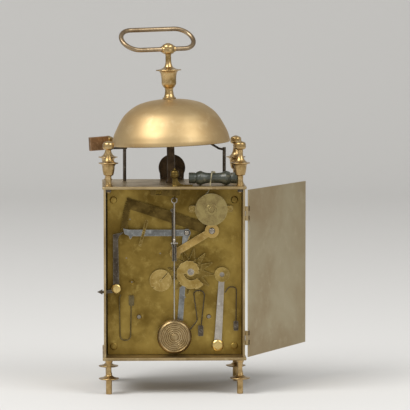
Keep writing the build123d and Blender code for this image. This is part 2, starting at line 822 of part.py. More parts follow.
def pendulum_bob():
    """A thick turned bob: broad bevelled rim, rings cut in its face, bored for the rod."""
    half = bob_thickness / 2
    bob = turned(
        (0, -half),
        (bob_radius - 2.2, -half),
        (bob_radius, -half + 1.6, 0.2),
        (bob_radius, half - 3.2),
        (bob_radius - 1.6, half, 0.3),
        (bob_radius - 2.4, half - 0.4, -0.1),
        (8.0, half - 0.7),
        (7.6, half - 0.4),
        (3.4, half - 0.5),
        (3.0, half - 0.1),
        (0, half),
    )
    y = back_plate_y - pendulum_level
    bob = Pos(0, y, bob_height) * Rot(90, 0, 0) * bob
    low = bob_height + bob_radius - 2.5
    return bob - upright((0, y), pendulum_rod_radius, low, bob_height + bob_radius + 2)


def crutch_and_pallets():
    """The pallet arbor: steel anchor over the escape wheel, and behind the plate a wire crutch whose
    slotted block embraces the pendulum rod."""
    x, z = pallet_place
    near = back_plate_y - 8.6
    piece = rod(pallet_place, arbor_radius, train_rear_y + 0.4, train_front_y - 0.4)
    piece += rod(pallet_place, pivot_radius, near, train_front_y + movement_plate_thickness)
    piece += rod(pallet_place, 1.6, near - 0.8, near + 1.2)
    crutch_y = near
    run = [(x, crutch_y, z), (x, crutch_y, crutch_block_height + 6.0)]
    path = Line(*run)
    piece += sweep(Plane(origin=path @ 0, z_dir=path % 0) * Circle(0.65), path=path)
    rod_y = back_plate_y - pendulum_level
    block = Pos(0, rod_y + 0.6, crutch_block_height) * Box(3.6, 5.4, 13.5)
    block -= Pos(0, rod_y - 1.4, crutch_block_height) * Box(2 * pendulum_rod_radius + 0.5, 5.0, 20)
    piece += block + Pos(x / 2, crutch_y, crutch_block_height + 6.0) * Box(3.4, 1.6, 1.6)
    escape_y = escape_wheel_y
    piece += slab(anchor_outline(), escape_y + 0.5, 2.6)
    return piece


# ================= escapement and trains =================
escape_radius = span(escape_place, pallet_place) * 0.705


def third_place():
    """The third arbor, at mesh distance from both the centre and the escape arbors."""
    whole = span(hour_cam_place, escape_place)
    reach_a = third_wheel_reach
    reach_b = third_wheel_reach
    along = (whole**2 + reach_a**2 - reach_b**2) / (2 * whole)
    aside = sqrt(reach_a**2 - along**2)
    direction = bearing(hour_cam_place, escape_place)
    foot = polar(hour_cam_place, along, direction)
    return polar(foot, aside, direction + 90)


def anchor_outline():
    """A recoil anchor spanning seven and a half teeth, its nibs clear of the wheel through the swing."""
    centre = pallet_place
    spread = 360 / escape_teeth * 3.75
    outline = Pos(*centre) * Circle(2.6)
    for side in (-1, 1):
        nib = polar(escape_place, escape_radius + 2.35, 90 + side * spread)
        outline += tapered_bar(centre, 1.7, nib, 0.8)
    return outline


def escape_wheel():
    """The escape wheel with thirty slender raked teeth, four arms, and its pinion."""
    pitch = 360 / escape_teeth
    outline = []
    for number in range(escape_teeth):
        start = number * pitch
        outline.append(polar(escape_place, escape_radius - 2.2, start))
        outline.append(polar(escape_place, escape_radius, start + 0.34 * pitch))
        outline.append(polar(escape_place, escape_radius, start + 0.42 * pitch))
        outline.append(polar(escape_place, escape_radius - 2.2, start + 0.62 * pitch))
    disc = Polygon(*outline, align=None) - crossings(escape_place, 3.2, escape_radius - 3.6, 4, 1.6)
    piece = arbor(escape_place) + slab(disc, escape_wheel_y, wheel_thickness)
    leaves = pinion_outline(escape_place, third_place(), escape_pinion_leaves, third_wheel_teeth)
    return piece + slab(leaves, third_wheel_y + 2, pinion_length)


def train_arbor(place, wheel, wheel_y, leaves, pinion_y):
    """An arbor that carries one wheel and one pinion."""
    piece = arbor(place)
    piece += slab(wheel, wheel_y, wheel_thickness)
    piece += slab(Pos(*place) * Circle(arbor_radius + 1.5), wheel_y + 1.4, wheel_thickness + 2.8)
    return piece + slab(leaves, pinion_y + 2, pinion_length)


def third_wheel():
    place = third_place()
    wheel = wheel_outline(place, escape_place, third_wheel_teeth, escape_pinion_leaves)
    leaves = pinion_outline(place, hour_cam_place, third_pinion_leaves, centre_wheel_teeth)
    return train_arbor(place, wheel, third_wheel_y, leaves, centre_wheel_y)


def second_wheel():
    wheel = wheel_outline(second_place, hour_cam_place, second_wheel_teeth, centre_pinion_leaves)
    leaves = pinion_outline(second_place, going_barrel_place, barrel_pinion_leaves, barrel_teeth)
    return train_arbor(second_place, wheel, second_wheel_y, leaves, going_great_y)


def centre_wheel():
    """The arbor that turns once an hour: centre wheel and pinion between the plates, the first wheel
    and pinion of the motion work at the front, and the squared end for the cam at the rear."""
    place = hour_cam_place
    wheel = wheel_outline(place, third_place(), centre_wheel_teeth, third_pinion_leaves)
    leaves = pinion_outline(place, second_place, centre_pinion_leaves, second_wheel_teeth)
    piece = train_arbor(place, wheel, centre_wheel_y, leaves, second_wheel_y)
    piece += rod(place, 1.0, back_plate_y - cam_level - 1.6, train_rear_y)
    piece += rod(place, 0.8, train_front_y, motion_level(3) + 1.2)
    driver = wheel_outline(place, (0, dial_centre_height), motion_teeth, motion_teeth, arms=0)
    piece += slab(driver, motion_level(0) + wheel_thickness, wheel_thickness)
    hour_leaves = pinion_outline(place, (0, dial_centre_height), hour_pinion_leaves, hour_wheel_teeth)
    return piece + slab(hour_leaves, motion_level(1) + wheel_thickness + 0.4, wheel_thickness + 0.8)


def barrel(place, mate, mate_leaves, great_y, drum_y):
    """A spring barrel with its great wheel and its arbor."""
    great = wheel_outline(place, mate, barrel_teeth, mate_leaves, arms=0)
    piece = slab(great, great_y, 1.6)
    piece += slab(Pos(*place) * Circle(barrel_radius), drum_y + barrel_length, barrel_length)
    cap = Pos(*place) * (Circle(barrel_radius + 0.6) - Circle(barrel_radius - 0.8))
    piece += slab(cap, drum_y + barrel_length, 1.2)
    piece += rod(place, 3.0, train_rear_y + 0.4, train_front_y - 0.4)
    return piece + rod(place, barrel_pivot_radius, back_plate_y, front_plate_outer_y)


def going_barrel():
    drum_y = going_great_y - 1.0 - barrel_length
    return barrel(going_barrel_place, second_place, barrel_pinion_leaves, going_great_y, drum_y)


def strike_barrel():
    return barrel(strike_barrel_place, pin_wheel_place, barrel_pinion_leaves, strike_great_y, strike_great_y)


def pin_wheel():
    """The wheel whose pins raise the strike hammer's tail."""
    place = pin_wheel_place
    wheel = wheel_outline(place, strike_second_place, pin_wheel_teeth, fine_pinion_leaves)
    leaves = pinion_outline(place, strike_barrel_place, barrel_pinion_leaves, barrel_teeth)
    piece = train_arbor(place, wheel, pin_wheel_y, leaves, strike_great_y)
    for number in range(hammer_pins):
        centre = polar(place, hammer_pin_circle, 360 / hammer_pins * (number + 0.5))
        piece += rod(centre, 0.6, pin_wheel_y - 0.4, pin_wheel_y + 2.6)
    return piece


def strike_second_wheel():
    place = strike_second_place
    wheel = wheel_outline(place, gathering_place, strike_second_teeth, fine_pinion_leaves)
    leaves = pinion_outline(place, pin_wheel_place, fine_pinion_leaves, pin_wheel_teeth)
    return train_arbor(place, wheel, strike_second_y, leaves, pin_wheel_y)


def gathering_wheel():
    """The arbor that turns once a blow: wheel inside, and behind the plate the gathering pallet."""
    place = gathering_place
    wheel = wheel_outline(place, fly_place, gathering_wheel_teeth, fly_leaves)
    leaves = pinion_outline(place, strike_second_place, fine_pinion_leaves, strike_second_teeth)
    piece = train_arbor(place, wheel, gathering_wheel_y, leaves, strike_second_y)
    piece += rod(place, 0.75, back_plate_y - rack_level - 1.4, train_rear_y)
    finger_reach = rack_radius - rack_band - span(gathering_place, rack_place) - 0.25
    finger = tapered_bar(place, 1.15, polar(place, finger_reach - 0.3, 270), 0.3)
    return piece + on_plate(finger, rack_level + 0.1, 1.3)


def fly():
    """The air brake of the strike train: two vanes on the last arbor."""
    place = fly_place
    piece = arbor(place)
    leaves = pinion_outline(place, gathering_place, fly_leaves, gathering_wheel_teeth)
    piece += slab(leaves, gathering_wheel_y + 2, pinion_length)
    vane = Pos(*place) * Rot(0, 0, 30) * (Rectangle(18.0, 0.7) + Circle(1.7))
    vane_near = train_rear_y + 8.0
    vane_far = gathering_wheel_y - 8.0
    return piece + slab(vane, vane_far, vane_far - vane_near)


# ================= movement frame =================
def motion_level(layer):
    """Rear face of a layer of the motion work, in front of the front plate."""
    return front_plate_outer_y + 0.5 + layer * 2.4


def plate_outline():
    height = body_height - 2 * piece_gap
    middle_z = (floor_z + ceiling_z) / 2
    return Pos(movement_shift, middle_z) * RectangleRounded(movement_width, height, 1.0)


def train_holes():
    fine = pivot_radius + running_gap
    holes = [
        (second_place, fine),
        (third_place(), fine),
        (escape_place, fine),
        (pallet_place, fine),
        (pin_wheel_place, fine),
        (strike_second_place, fine),
        (gathering_place, fine),
        (fly_place, fine),
        (going_barrel_place, barrel_pivot_radius + running_gap),
        (strike_barrel_place, barrel_pivot_radius + running_gap),
    ]
    return holes


def pillar_places():
    return [(sx * pillar_spread, z) for sx in (-1, 1) for z in (pillar_low, pillar_high)]


def back_plate():
    """The rear movement plate, with oil sinks at the barrel and train pivots."""
    plate = slab(plate_outline(), train_rear_y, movement_plate_thickness)
    through = [(hour_cam_place, 1.0), (gathering_place, 0.75), (drum_place, drum_arbor_radius)]
    for place, radius in train_holes() + [(place, radius + running_gap) for place, radius in through]:
        plate -= rod(place, radius, back_plate_y - 1, train_rear_y + 1)
    for place in pillar_places():
        plate -= rod(place, 1.5 + running_gap, back_plate_y - 1, train_rear_y + 1)
    for place in (going_barrel_place, strike_barrel_place, pin_wheel_place):
        sink = Pos(place[0], back_plate_y, place[1]) * Rot(90, 0, 0) * Cone(1.6, 2.9, 1.0)
        plate -= sink
    return plate


def front_plate():
    """The front movement plate, with the cocks for the hammer arbors on its inner face and the stud
    on which the hands turn."""
    plate = slab(plate_outline(), front_plate_outer_y, movement_plate_thickness)
    for place, radius in train_holes():
        plate -= rod(place, radius, train_front_y - 1, front_plate_outer_y + 1)
    for place in pillar_places():
        plate -= rod(place, 1.5 + running_gap, train_front_y - 1, front_plate_outer_y + 1)
    plate -= rod(hour_cam_place, 0.8 + running_gap, train_front_y - 1, front_plate_outer_y + 1)
    plate += rod((0, dial_centre_height), hand_stud_radius, front_plate_outer_y, minute_hand_y + 1.6)
    for place, low in ((strike_rod_place, hammer_pivot_height), (alarm_rod_place, alarm_pivot_height)):
        x, y = place
        reach = train_front_y - y + 3
        cock = Pos(x, y - 3 + reach / 2, low - 0.5) * Box(5.6, reach, 3.0)
        plate += cock - upright(place, hammer_rod_radius + running_gap, low - 0.05, low + 5)
    return plate


def movement_pillars():
    """Four turned pillars that hold the plates apart, with an end riveted in each plate."""
    tenon = movement_plate_thickness
    pillar = turned(
        (0, -tenon),
        (1.5, -tenon),
        (1.5, 0),
        (pillar_radius + 0.8, 0),
        (pillar_radius + 0.8, 2.0, 0.2),
        (pillar_radius - 0.4, 4.5, -0.3),
        (pillar_radius, plates_apart / 2, 0.1),
        (pillar_radius - 0.4, plates_apart - 4.5, 0.1),
        (pillar_radius + 0.8, plates_apart - 2.0, -0.3),
        (pillar_radius + 0.8, plates_apart, 0.2),
        (1.5, plates_apart),
        (1.5, plates_apart + tenon + running_gap),
        (3.0, plates_apart + tenon + running_gap),
        (3.0, plates_apart + tenon + 0.7),
        (1.8, plates_apart + tenon + 1.3, 0.2),
        (0, plates_apart + tenon + 1.4),
    )
    stand = [Pos(x, train_front_y, z) * Rot(90, 0, 0) * pillar for x, z in pillar_places()]
    return Compound(stand)


# ================= strike work =================
def star_wheel():
    """The twelve-pointed star that carries the snail, and its arbor screwed to the plate."""
    pitch = 360 / star_points
    outline = []
    for number in range(star_points):
        middle = star_phase + number * pitch
        outline.append(polar(star_place, star_root_radius, middle - 0.42 * pitch))
        outline.append(polar(star_place, star_radius, middle - 0.045 * pitch))
        outline.append(polar(star_place, star_radius, middle + 0.045 * pitch))
        outline.append(polar(star_place, star_root_radius, middle + 0.42 * pitch))
    disc = Polygon(*outline, align=None) - Pos(*star_place) * Circle(stud_screw_radius + running_gap)
    return on_plate(disc, star_level, wheel_thickness)


def hour_snail():
    """The stepped snail on the star: twelve equal steps, a pierced crescent round the hub."""
    step = rack_tail_reach * radians(rack_tooth_angle)
    snail = Pos(*star_place) * Circle(snail_radius - 11 * step)
    for number in range(11):
        radius = snail_radius - number * step
        start = snail_fall_angle - 30 * (number + 1)
        arc = [polar(star_place, 34, start + turn) for turn in (0, 15, 30)]
        sector = Polygon(star_place, *arc, align=None)
        snail += (Pos(*star_place) * Circle(radius)) & sector
    crescent = Pos(star_place[0] + 0.6, star_place[1] - 0.6) * Circle(6.6) - Pos(*star_place) * Circle(3.9)
    crescent &= Pos(star_place[0] + 1.0, star_place[1] - 6.0) * Rectangle(20, 9)
    snail -= crescent
    snail -= Pos(*star_place) * Circle(stud_screw_radius + running_gap)
    piece = on_plate(snail, snail_level, 1.3)
    hub = Pos(*star_place) * (Circle(2.9) - Circle(stud_screw_radius + running_gap))
    hub_level = star_level + wheel_thickness
    return piece + on_plate(hub, hub_level, snail_level + 1.6 - hub_level)


def snail_stud():
    """The steel shoulder screw on which the star turns."""
    top = snail_level + 1.6 + running_gap
    stud = rod(star_place, stud_screw_radius, back_plate_y - top, back_plate_y)
    head = on_plate(Pos(*star_place) * Circle(2.8), top, 0.9)
    slot = on_plate(Pos(*star_place) * Rot(0, 0, 35) * Rectangle(7, 0.6), top + 0.45, 1.0)
    return stud + head - slot


def hour_cam():
    """The small cam that turns once an hour: a let-off notch, and a pin behind it for the star."""
    place = hour_cam_place
    disc = Pos(*place) * Circle(hour_cam_radius)
    outside = hour_cam_radius + 1
    inside = hour_cam_radius - 1.6
    notch = [polar(place, outside, 212), polar(place, inside, 226), polar(place, outside, 230)]
    disc -= Polygon(*notch, align=None)
    slit = Pos(*polar(place, 6.0, 48)) * Rot(0, 0, 48) * Rectangle(8.2, 0.7)
    disc -= slit
    disc -= Pos(*place) * Circle(1.0 + running_gap)
    piece = on_plate(disc, cam_level, 1.4)
    pin = polar(place, 8.0, 118.8)
    return piece + rod(pin, 0.6, back_plate_y - cam_level - 0.5, back_plate_y - star_level + 0.2)


def rack():
    """The rack: a long arm from its hub to a toothed arc, with teeth on both edges of the band."""
    hub = rack_place
    inner = rack_radius - rack_band
    count = int((rack_low_angle - rack_high_angle - 2.0) / rack_tooth_angle)
    outer_edge = [polar(hub, rack_radius, rack_high_angle)]
    for number in range(count):
        start = rack_high_angle + 1.0 + number * rack_tooth_angle
        outer_edge.append(polar(hub, rack_radius, start))
        outer_edge.append(polar(hub, rack_radius - 1.1, start + 0.15))
        outer_edge.append(polar(hub, rack_radius, start + rack_tooth_angle - 0.2))
    outer_edge.append(polar(hub, rack_radius, rack_low_angle))
    inner_edge = [polar(hub, inner, rack_low_angle)]
    for number in range(count):
        end = rack_low_angle - 1.0 - number * rack_tooth_angle
        inner_edge.append(polar(hub, inner, end))
        inner_edge.append(polar(hub, inner + 0.9, end - 0.4))
        inner_edge.append(polar(hub, inner, end - rack_tooth_angle + 0.2))
    inner_edge.append(polar(hub, inner, rack_high_angle + 3.4))
    band = Polygon(*(outer_edge + inner_edge + [polar(hub, inner, rack_high_angle)]), align=None)
    arm_tip_high = polar(hub, rack_radius - 0.5, rack_high_angle)
    arm_tip_low = polar(hub, inner + 1, rack_high_angle + 6.6)
    arm = Polygon(arm_tip_high, polar(hub, 5.0, 86), polar(hub, 5.0, 236), arm_tip_low, align=None)
    outline = band + arm + Pos(*hub) * Circle(5.4) - Pos(*hub) * Circle(stud_screw_radius + running_gap)
    return on_plate(outline, rack_level, lever_thickness)


def rack_tail():
    """The brass tail on the rack's hub, with the steel pin that falls on the snail."""
    hub = rack_place
    tip = polar(hub, rack_tail_reach, rack_tail_angle)
    outline = Pos(*hub) * Circle(6.0)
    near = [polar(hub, 5.6, rack_tail_angle + 32), polar(hub, 5.6, rack_tail_angle - 32)]
    far = [polar(tip, 3.0, rack_tail_angle - 80), polar(tip, 3.0, rack_tail_angle + 90)]
    end = polar(hub, rack_tail_reach + 3.4, rack_tail_angle + 0.8)
    outline += Polygon(near[0], near[1], far[0], far[1], align=None) + Pos(*end) * Circle(4.4)
    outline -= Pos(*hub) * Circle(stud_screw_radius + running_gap)
    piece = on_plate(outline, tail_level, lever_thickness)
    collar = Pos(*hub) * (Circle(3.4) - Circle(stud_screw_radius + running_gap))
    seat = rack_level + lever_thickness
    piece += on_plate(collar, seat, tail_level - seat)
    pin = polar(hub, rack_tail_reach, rack_tail_angle)
    return piece + rod(pin, 0.7, back_plate_y - tail_level - 0.5, back_plate_y - snail_level)


def shoulder_screw(place, top, head_radius, radius=stud_screw_radius, base=0.0):
    """A shoulder screw from level `base`, domed and slotted, the seat of its head at level `top`."""
    head = Pos(place[0], back_plate_y - top, place[1]) * Rot(90, 0, 0)
    shoulder = (head_radius * 0.55, 1.7, 0.25)
    dome = turned((0, 0), (head_radius, 0), (head_radius, 0.7), shoulder, (0, 1.8))
    dome -= Pos(0, 0, 1.9) * Box(0.7, head_radius * 1.5, 1.2)
    return rod(place, radius, back_plate_y - top, back_plate_y - base) + head * dome


def rack_hook():
    """The sprung steel lever that holds the rack, with a tail that reaches out of the case's side."""
    pivot = rack_hook_place
    top = (-49.6, 131.0)
    outline = Pos(*pivot) * Circle(3.6) + tapered_bar(pivot, 2.6, top, 2.1)
    finger = [(-51.6, 131.0), (-51.8, 134.4), (-42.6, 136.4), (-46.6, 133.2), (-47.6, 130.4)]
    tip_x = -panel_outer_x - 1.2
    tail = Polygon((-50.0, 84.8), (tip_x, 84.2), (tip_x, 86.4), (-50.0, 87.6), align=None)
    arrow = Polygon((tip_x, 83.2), (tip_x - 4.6, 85.4), (tip_x, 87.6), align=None)
    outline += tail + arrow
    outline -= Pos(*pivot) * Circle(stud_screw_radius + running_gap)
    over_rack = rack_level + lever_thickness + 0.25
    step = on_plate(Pos(*top) * Circle(2.1), hook_level, over_rack + 1.1 - hook_level)
    piece = on_plate(outline, hook_level, lever_thickness) + step
    return piece + on_plate(Polygon(*finger, align=None), over_rack, 1.1)


def lifting_lever():
    """The long steel lever that lets the strike off: beak at its left end, short arm below its hub."""
    pivot = lifting_place
    hub_x, hub_z = pivot
    upper = [(-43.0, 139.4), (-38.0, 138.6), (hub_x, hub_z + 2.6)]
    lower = [(hub_x, hub_z - 2.6), (-35.4, 133.2), (-36.8, 130.8), (-38.6, 133.8), (-41.8, 135.0)]
    outline = Polygon(*(upper + lower), align=None) + Pos(*pivot) * Circle(3.3)
    outline += tapered_bar(pivot, 3.0, (8.1, 126.0), 1.4)
    outline -= Pos(*pivot) * Circle(1.2 + running_gap)
    return on_plate(outline, lifting_level, lever_thickness)


def lever_cock():
    """The low cock that carries the lifting lever's screw above the path of the rack's arm."""
    foot = (10.7, 127.6)
    level = lifting_level - running_gap - 1.1
    outline = tapered_bar(foot, 2.4, lifting_place, 2.6) - Pos(*lifting_place) * Circle(1.2 + running_gap)
    base = on_plate(Pos(*foot) * Circle(2.4), 0, level + 1.1)
    return base + on_plate(outline, level, 1.1)


def warning_strip():
    """The thin brass strip riveted across the lifting lever, with a pin towards the plate at its end."""
    high = (-23.3, 145.6)
    low = (-28.8, 125.6)
    level = lifting_level + lever_thickness
    strip = on_plate(tapered_bar(high, 1.2, low, 1.15), level, 0.7)
    rivet = polar(high, 9.6, bearing(high, low))
    strip += rod(rivet, 1.0, back_plate_y - level - 1.1, back_plate_y - level)
    return strip + rod(low, 0.7, back_plate_y - level - 1.2, back_plate_y - 0.4)


def star_jumper():
    """The steel lever with a brass roller that steadies the star."""
    pivot = jumper_place
    roller = roller_place()
    outline = tapered_bar(pivot, 3.2, roller, 2.3)
    outline -= Pos(*pivot) * Circle(stud_screw_radius + running_gap)
    return on_plate(outline, jumper_level, lever_thickness)


def roller_place():
    """The roller stands on the star's level, just clear of the circle of its tips."""
    return (40.6, 100.2)


def jumper_roller():
    """The brass roller at the end of the jumper, on a steel rivet."""
    place = roller_place()
    ring = Pos(*place) * (Circle(roller_radius) - Circle(2.1))
    piece = on_plate(ring, jumper_level + lever_thickness, 1.8)
    return piece


def rack_hook_spring():
    """A hairpin of steel wire in a screwed block, pressing the tail of the rack hook outwards."""
    y = back_plate_y - hook_level - 0.7
    points = [
        (-36.4, y, 76.0),
        (-37.0, y, 44.0),
        (-45.8, y, 44.0),
        (-46.6, y, 80.0),
        (-45.4, y, 83.0),
    ]
    path = FilletPolyline(*points, radius=[4.0, 4.0, 2.0])
    piece = sweep(Plane(origin=path @ 0, z_dir=path % 0) * Circle(spring_wire_radius), path=path)
    return piece + spring_block((-36.2, 78.0), (4.6, 8.6), 2)


def spring_block(place, size, screws):
    """The little steel block that clamps a spring's end, with its screw heads."""
    block = on_plate(Pos(*place) * RectangleRounded(size[0], size[1], 0.8), 0, 2.6)
    pitch = size[1] / 2
    for number in range(screws):
        z = place[1] + (number - (screws - 1) / 2) * pitch
        head = on_plate(Pos(place[0], z) * Circle(1.45), 2.6, 0.6)
        head -= on_plate(Pos(place[0], z) * Rot(0, 0, 30) * Rectangle(4, 0.5), 2.8, 1.0)
        block += head
    return block


def jumper_spring():
    """The wire spring that presses the jumper towards the star."""
    y = back_plate_y - jumper_level - 0.7
    points = [(52.6, y, 57.5), (53.0, y, 89.4), (46.6, y, 89.4), (43.2, y, 84.6)]
    path = FilletPolyline(*points, radius=[3.0, 2.4])
    piece = sweep(Plane(origin=path @ 0, z_dir=path % 0) * Circle(spring_wire_radius), path=path)
    return piece + spring_block((52.6, 56.0), (4.0, 8.0), 1)


def detent_blade():
    """The blued steel blade behind the bob, screwed at its foot."""
    outline = Polygon((2.6, 56.0), (7.2, 56.0), (9.8, 92.5), (5.2, 92.5), align=None)
    blade = on_plate(outline, 0.4, 0.7)
    foot = on_plate(Pos(4.6, 52.0) * RectangleRounded(6.4, 9.0, 1.0), 0, 1.6)
    return blade + foot + on_plate(Pos(4.6, 51.4) * Circle(1.8), 1.6, 0.8)


def blade_spring():
    """The bent wire spring beside the blade."""
    y = back_plate_y - 3.1
    points = [
        (22.8, y, 54.0),
        (26.2, y, 86.6),
        (16.4, y, 86.2),
        (19.8, y, 61.0),
        (13.2, y, 52.6),
    ]
    path = FilletPolyline(*points, radius=[4.0, 3.0, 5.0])
    piece = sweep(Plane(origin=path @ 0, z_dir=path % 0) * Circle(spring_wire_radius), path=path)
    return piece + spring_block((22.7, 51.9), (4.4, 9.0), 1)


def movement_screws():
    """The shoulder screws of the levers, the stud screw of the star and the small plate screws."""
    rack_top = tail_level + lever_thickness + running_gap
    hook_top = hook_level + lever_thickness + running_gap
    jumper_top = jumper_level + lever_thickness + running_gap
    lever_top = lifting_level + lever_thickness + running_gap
    pieces = [
        shoulder_screw(rack_hook_place, hook_top, 4.1),
        shoulder_screw(jumper_place, jumper_top, 4.9),
        shoulder_screw(rack_place, rack_top, 2.8),
        shoulder_screw(lifting_place, lever_top, 2.2, 1.2, lifting_level - 1.1),
        snail_stud(),
    ]
    return Compound(pieces)


# ================= alarm winding =================

def pull_drum():
    """The pull-wind drum with its broad disc, on an arbor that carries the alarm's pin wheel."""
    place = drum_place
    disc = on_plate(Pos(*place) * Circle(drum_disc_radius), drum_disc_level, 1.3)
    boss = Pos(place[0], back_plate_y - drum_disc_level - 1.3, place[1]) * Rot(90, 0, 0)
    steps = [(0, 0), (4.7, 0), (4.7, 0.5), (4.0, 0.9, 0.1), (2.6, 0.9), (1.6, 1.7, 0.2), (0, 1.8)]
    disc += boss * turned(*steps)
    drum_width = drum_disc_level - drum_flange_level
    drum = on_plate(Pos(*place) * Circle(drum_radius), drum_flange_level, drum_width)
    flange = on_plate(Pos(*place) * Circle(drum_disc_radius - 1.4), drum_flange_level, 0.8)
    piece = disc + drum + flange
    piece += rod(place, drum_arbor_radius, back_plate_y - drum_disc_level, alarm_wheel_y + 1.25)
    piece += slab(Pos(*place) * Circle(12.0), train_rear_y + 14, 12)
    piece += slab(Pos(*place) * Circle(alarm_pin_circle + 1.4), alarm_wheel_y, 1.2)
    for number in range(12):
        centre = polar(place, alarm_pin_circle, 30 * number)
        piece += rod(centre, 0.6, alarm_wheel_y - 1.2, alarm_wheel_y + 5.0)
    return piece


def drum_bridge():
    """The bridge that carries the drum clear of the rack, with a screw at each end."""
    place = drum_place
    reach = 18.6
    bar = RectangleRounded(2 * reach, 5.4, 1.4) - Circle(drum_arbor_radius + running_gap)
    piece = on_plate(Pos(*place) * bar, 4.2, 1.6)
    for side in (-1, 1):
        foot = Pos(place[0] + side * (reach - 2.2), place[1]) * Circle(2.2)
        piece += on_plate(foot, 0, 4.2)
        head = Pos(place[0] + side * (reach - 2.0), place[1]) * Circle(1.5)
        piece += on_plate(head, 5.8, 0.5)
    return piece


def plate_bridges():
    """The two brass cocks screwed to the back plate."""
    return Compound([drum_bridge(), lever_cock()])


def pull_toggle():
    """The turned toggle that lies on the roof, waisted in the middle, where the cord's hole is."""
    half = toggle_length / 2
    r = toggle_radius
    waist = r - 1.75
    toggle = turned(
        (0, -half),
        (r - 1.9, -half),
        (r - 1.3, -half + 0.6, 0.1),
        (r - 1.4, -half + 5.0),
        (r - 1.8, -half + 5.8),
        (r, -half + 9.4, 0.3),
        (r, -half + 10.4, 0.05),
        (waist, -3.0, -0.5),
        (waist, 3.0),
        (r, half - 10.4, -0.5),
        (r, half - 9.4, 0.05),
        (r - 1.8, half - 5.8, 0.3),
        (r - 1.4, half - 5.0),
        (r - 1.3, half - 0.6),
        (r - 1.9, half, 0.1),
        (0, half),
    )
    x, y = toggle_place
    lying = Pos(x, y, roof_z + toggle_radius + 0.06) * Rot(0, 90, 0) * toggle
    return lying - upright((x, y), 1.2, roof_z, roof_z + 3 * toggle_radius)


# The cord runs from the toggle's hole over its front, down through the roof and onto the drum.
cord_route = [
    (33.3, -29.4, 182.4),
    (33.3, -29.4, 188.2),
    (31.8, -35.4, 187.8),
    (30.6, -37.2, 179.4),
    (29.9, -37.6, 172.6),
    (25.4, -34.8, 167.2),
    (21.0, -34.6, 161.8),
    (19.9, -34.6, 153.6),
]


def corner_radii(points):
    """At each corner, 0.45 of the shorter run divided by the tangent of half the turn."""
    radii = []
    for a, b, c in zip(points, points[1:], points[2:]):
        before = Vector(*b) - Vector(*a)
        after = Vector(*c) - Vector(*b)
        turn = before.get_angle(after)
        shorter = min(before.length, after.length)
        radii.append(0.45 * shorter / tan(radians(turn / 2)))
    return radii


def pull_cord():
    """The thin cord from the toggle to the drum, as straight runs joined by tangent arcs."""
    radii = corner_radii(cord_route)
    path = FilletPolyline(*cord_route, radius=radii)
    tube = sweep(Plane(origin=path @ 0, z_dir=path % 0) * Circle(cord_radius), path=path)
    print("cord radii", [round(r, 2) for r in radii], "length", round(path.length, 1))
    expected = pi * cord_radius**2 * path.length
    print("cord volume", round(tube.volume, 2), "section x length", round(expected, 2))
    return tube


# ================= dial side =================
def dial_rod(radius, y_near, y_far):
    """A round bar along Y on the dial's centre."""
    return rod((0, dial_centre_height), radius, y_near, y_far)


def on_dial(solid):
    """Places a solid turned about Z so that Z points out of the dial."""
    return Pos(0, dial_y, dial_centre_height) * Rot(-90, 0, 0) * solid


def dial():
    """A domed enamel dial with a turned-down edge and a hole for the hands."""
    thickness = 1.0
    bore = alarm_radius + 0.4
    disc = turned(
        (bore, dial_rise - thickness),
        (dial_radius, 0, 0.9),
        (dial_radius, thickness),
        (bore, dial_rise, -0.9),
    )
    return on_dial(disc)


def dial_bezel():
    """The turned brass ring that holds the dial against the front panel."""
    ring = turned(
        (dial_radius + 0.1, 0),
        (bezel_radius, 0),
        (bezel_radius, 1.0),
        (bezel_radius - 1.2, 2.6, 0.4),
        (bezel_radius - 2.0, 2.4),
        (bezel_radius - 4.6, 1.6, -0.4),
        (dial_radius - 1.4, 2.4, 0.3),
        (dial_radius - 1.4, 1.4),
        (dial_radius + 0.1, 1.3),
    )
    return on_dial(ring)


def cannon_wheel():
    """The wheel and pipe that carry the minute hand."""
    centre = (0, dial_centre_height)
    start = motion_level(0)
    wheel = pinion_outline(centre, hour_cam_place, motion_teeth, motion_teeth)
    piece = slab(wheel, start + wheel_thickness, wheel_thickness)
    piece += dial_rod(cannon_radius, start, minute_hand_y + 0.4)
    return piece - dial_rod(cannon_bore, start - 1, minute_hand_y + 3)


def hour_wheel():
    """The hour wheel and its pipe, outside the cannon."""
    centre = (0, dial_centre_height)
    start = motion_level(1)
    wheel = wheel_outline(centre, hour_cam_place, hour_wheel_teeth, hour_pinion_leaves, arms=0)
    piece = slab(wheel, start + wheel_thickness, wheel_thickness)
    piece += dial_rod(hour_radius, start, hour_hand_y + 0.2)
    return piece - dial_rod(hour_bore, start - 1, hour_hand_y + 3)


def alarm_disc():
    """The disc in the dial's centre that is turned by hand to set the alarm, on its own pipe."""
    start = motion_level(2)
    disc = dial_rod(alarm_disc_radius, alarm_disc_y, alarm_disc_y + 0.8)
    disc += dial_rod(alarm_radius, start, alarm_disc_y + 0.4)
    disc += dial_rod(9.0, start, start + 1.0)
    return disc - dial_rod(alarm_bore, start - 1, alarm_disc_y + 3)


def hand(length, width, pipe_radius, y, thickness, angle):
    """A pierced and pointed hand: a boss, a slender stem, an open ring and a tip."""
    root = width * 0.42
    end = width * 0.3
    stem = Polygon((-root, 0), (root, 0), (end, length), (-end, length), align=None)
    ring_at = length * 0.66
    outline = Circle(pipe_radius + 1.5) + stem + Pos(0, ring_at) * Circle(width * 1.5)
    barb = (width * 0.75, length * 0.84)
    outline += Polygon((-barb[0], barb[1]), (0, length), barb, (0, length * 0.78), align=None)
    outline -= Pos(0, ring_at) * Circle(width * 0.85)
    outline -= Circle(pipe_radius + running_gap)
    turned_to = Pos(0, dial_centre_height) * Rot(0, 0, angle) * outline
    return slab(turned_to, y + thickness, thickness)


def minute_hand():
    return hand(minute_hand_length, 1.9, cannon_radius, minute_hand_y - 0.6, 0.8, 60)


def hour_hand():
    return hand(hour_hand_length, 2.3, hour_radius, hour_hand_y - 0.6, 0.8, -50)



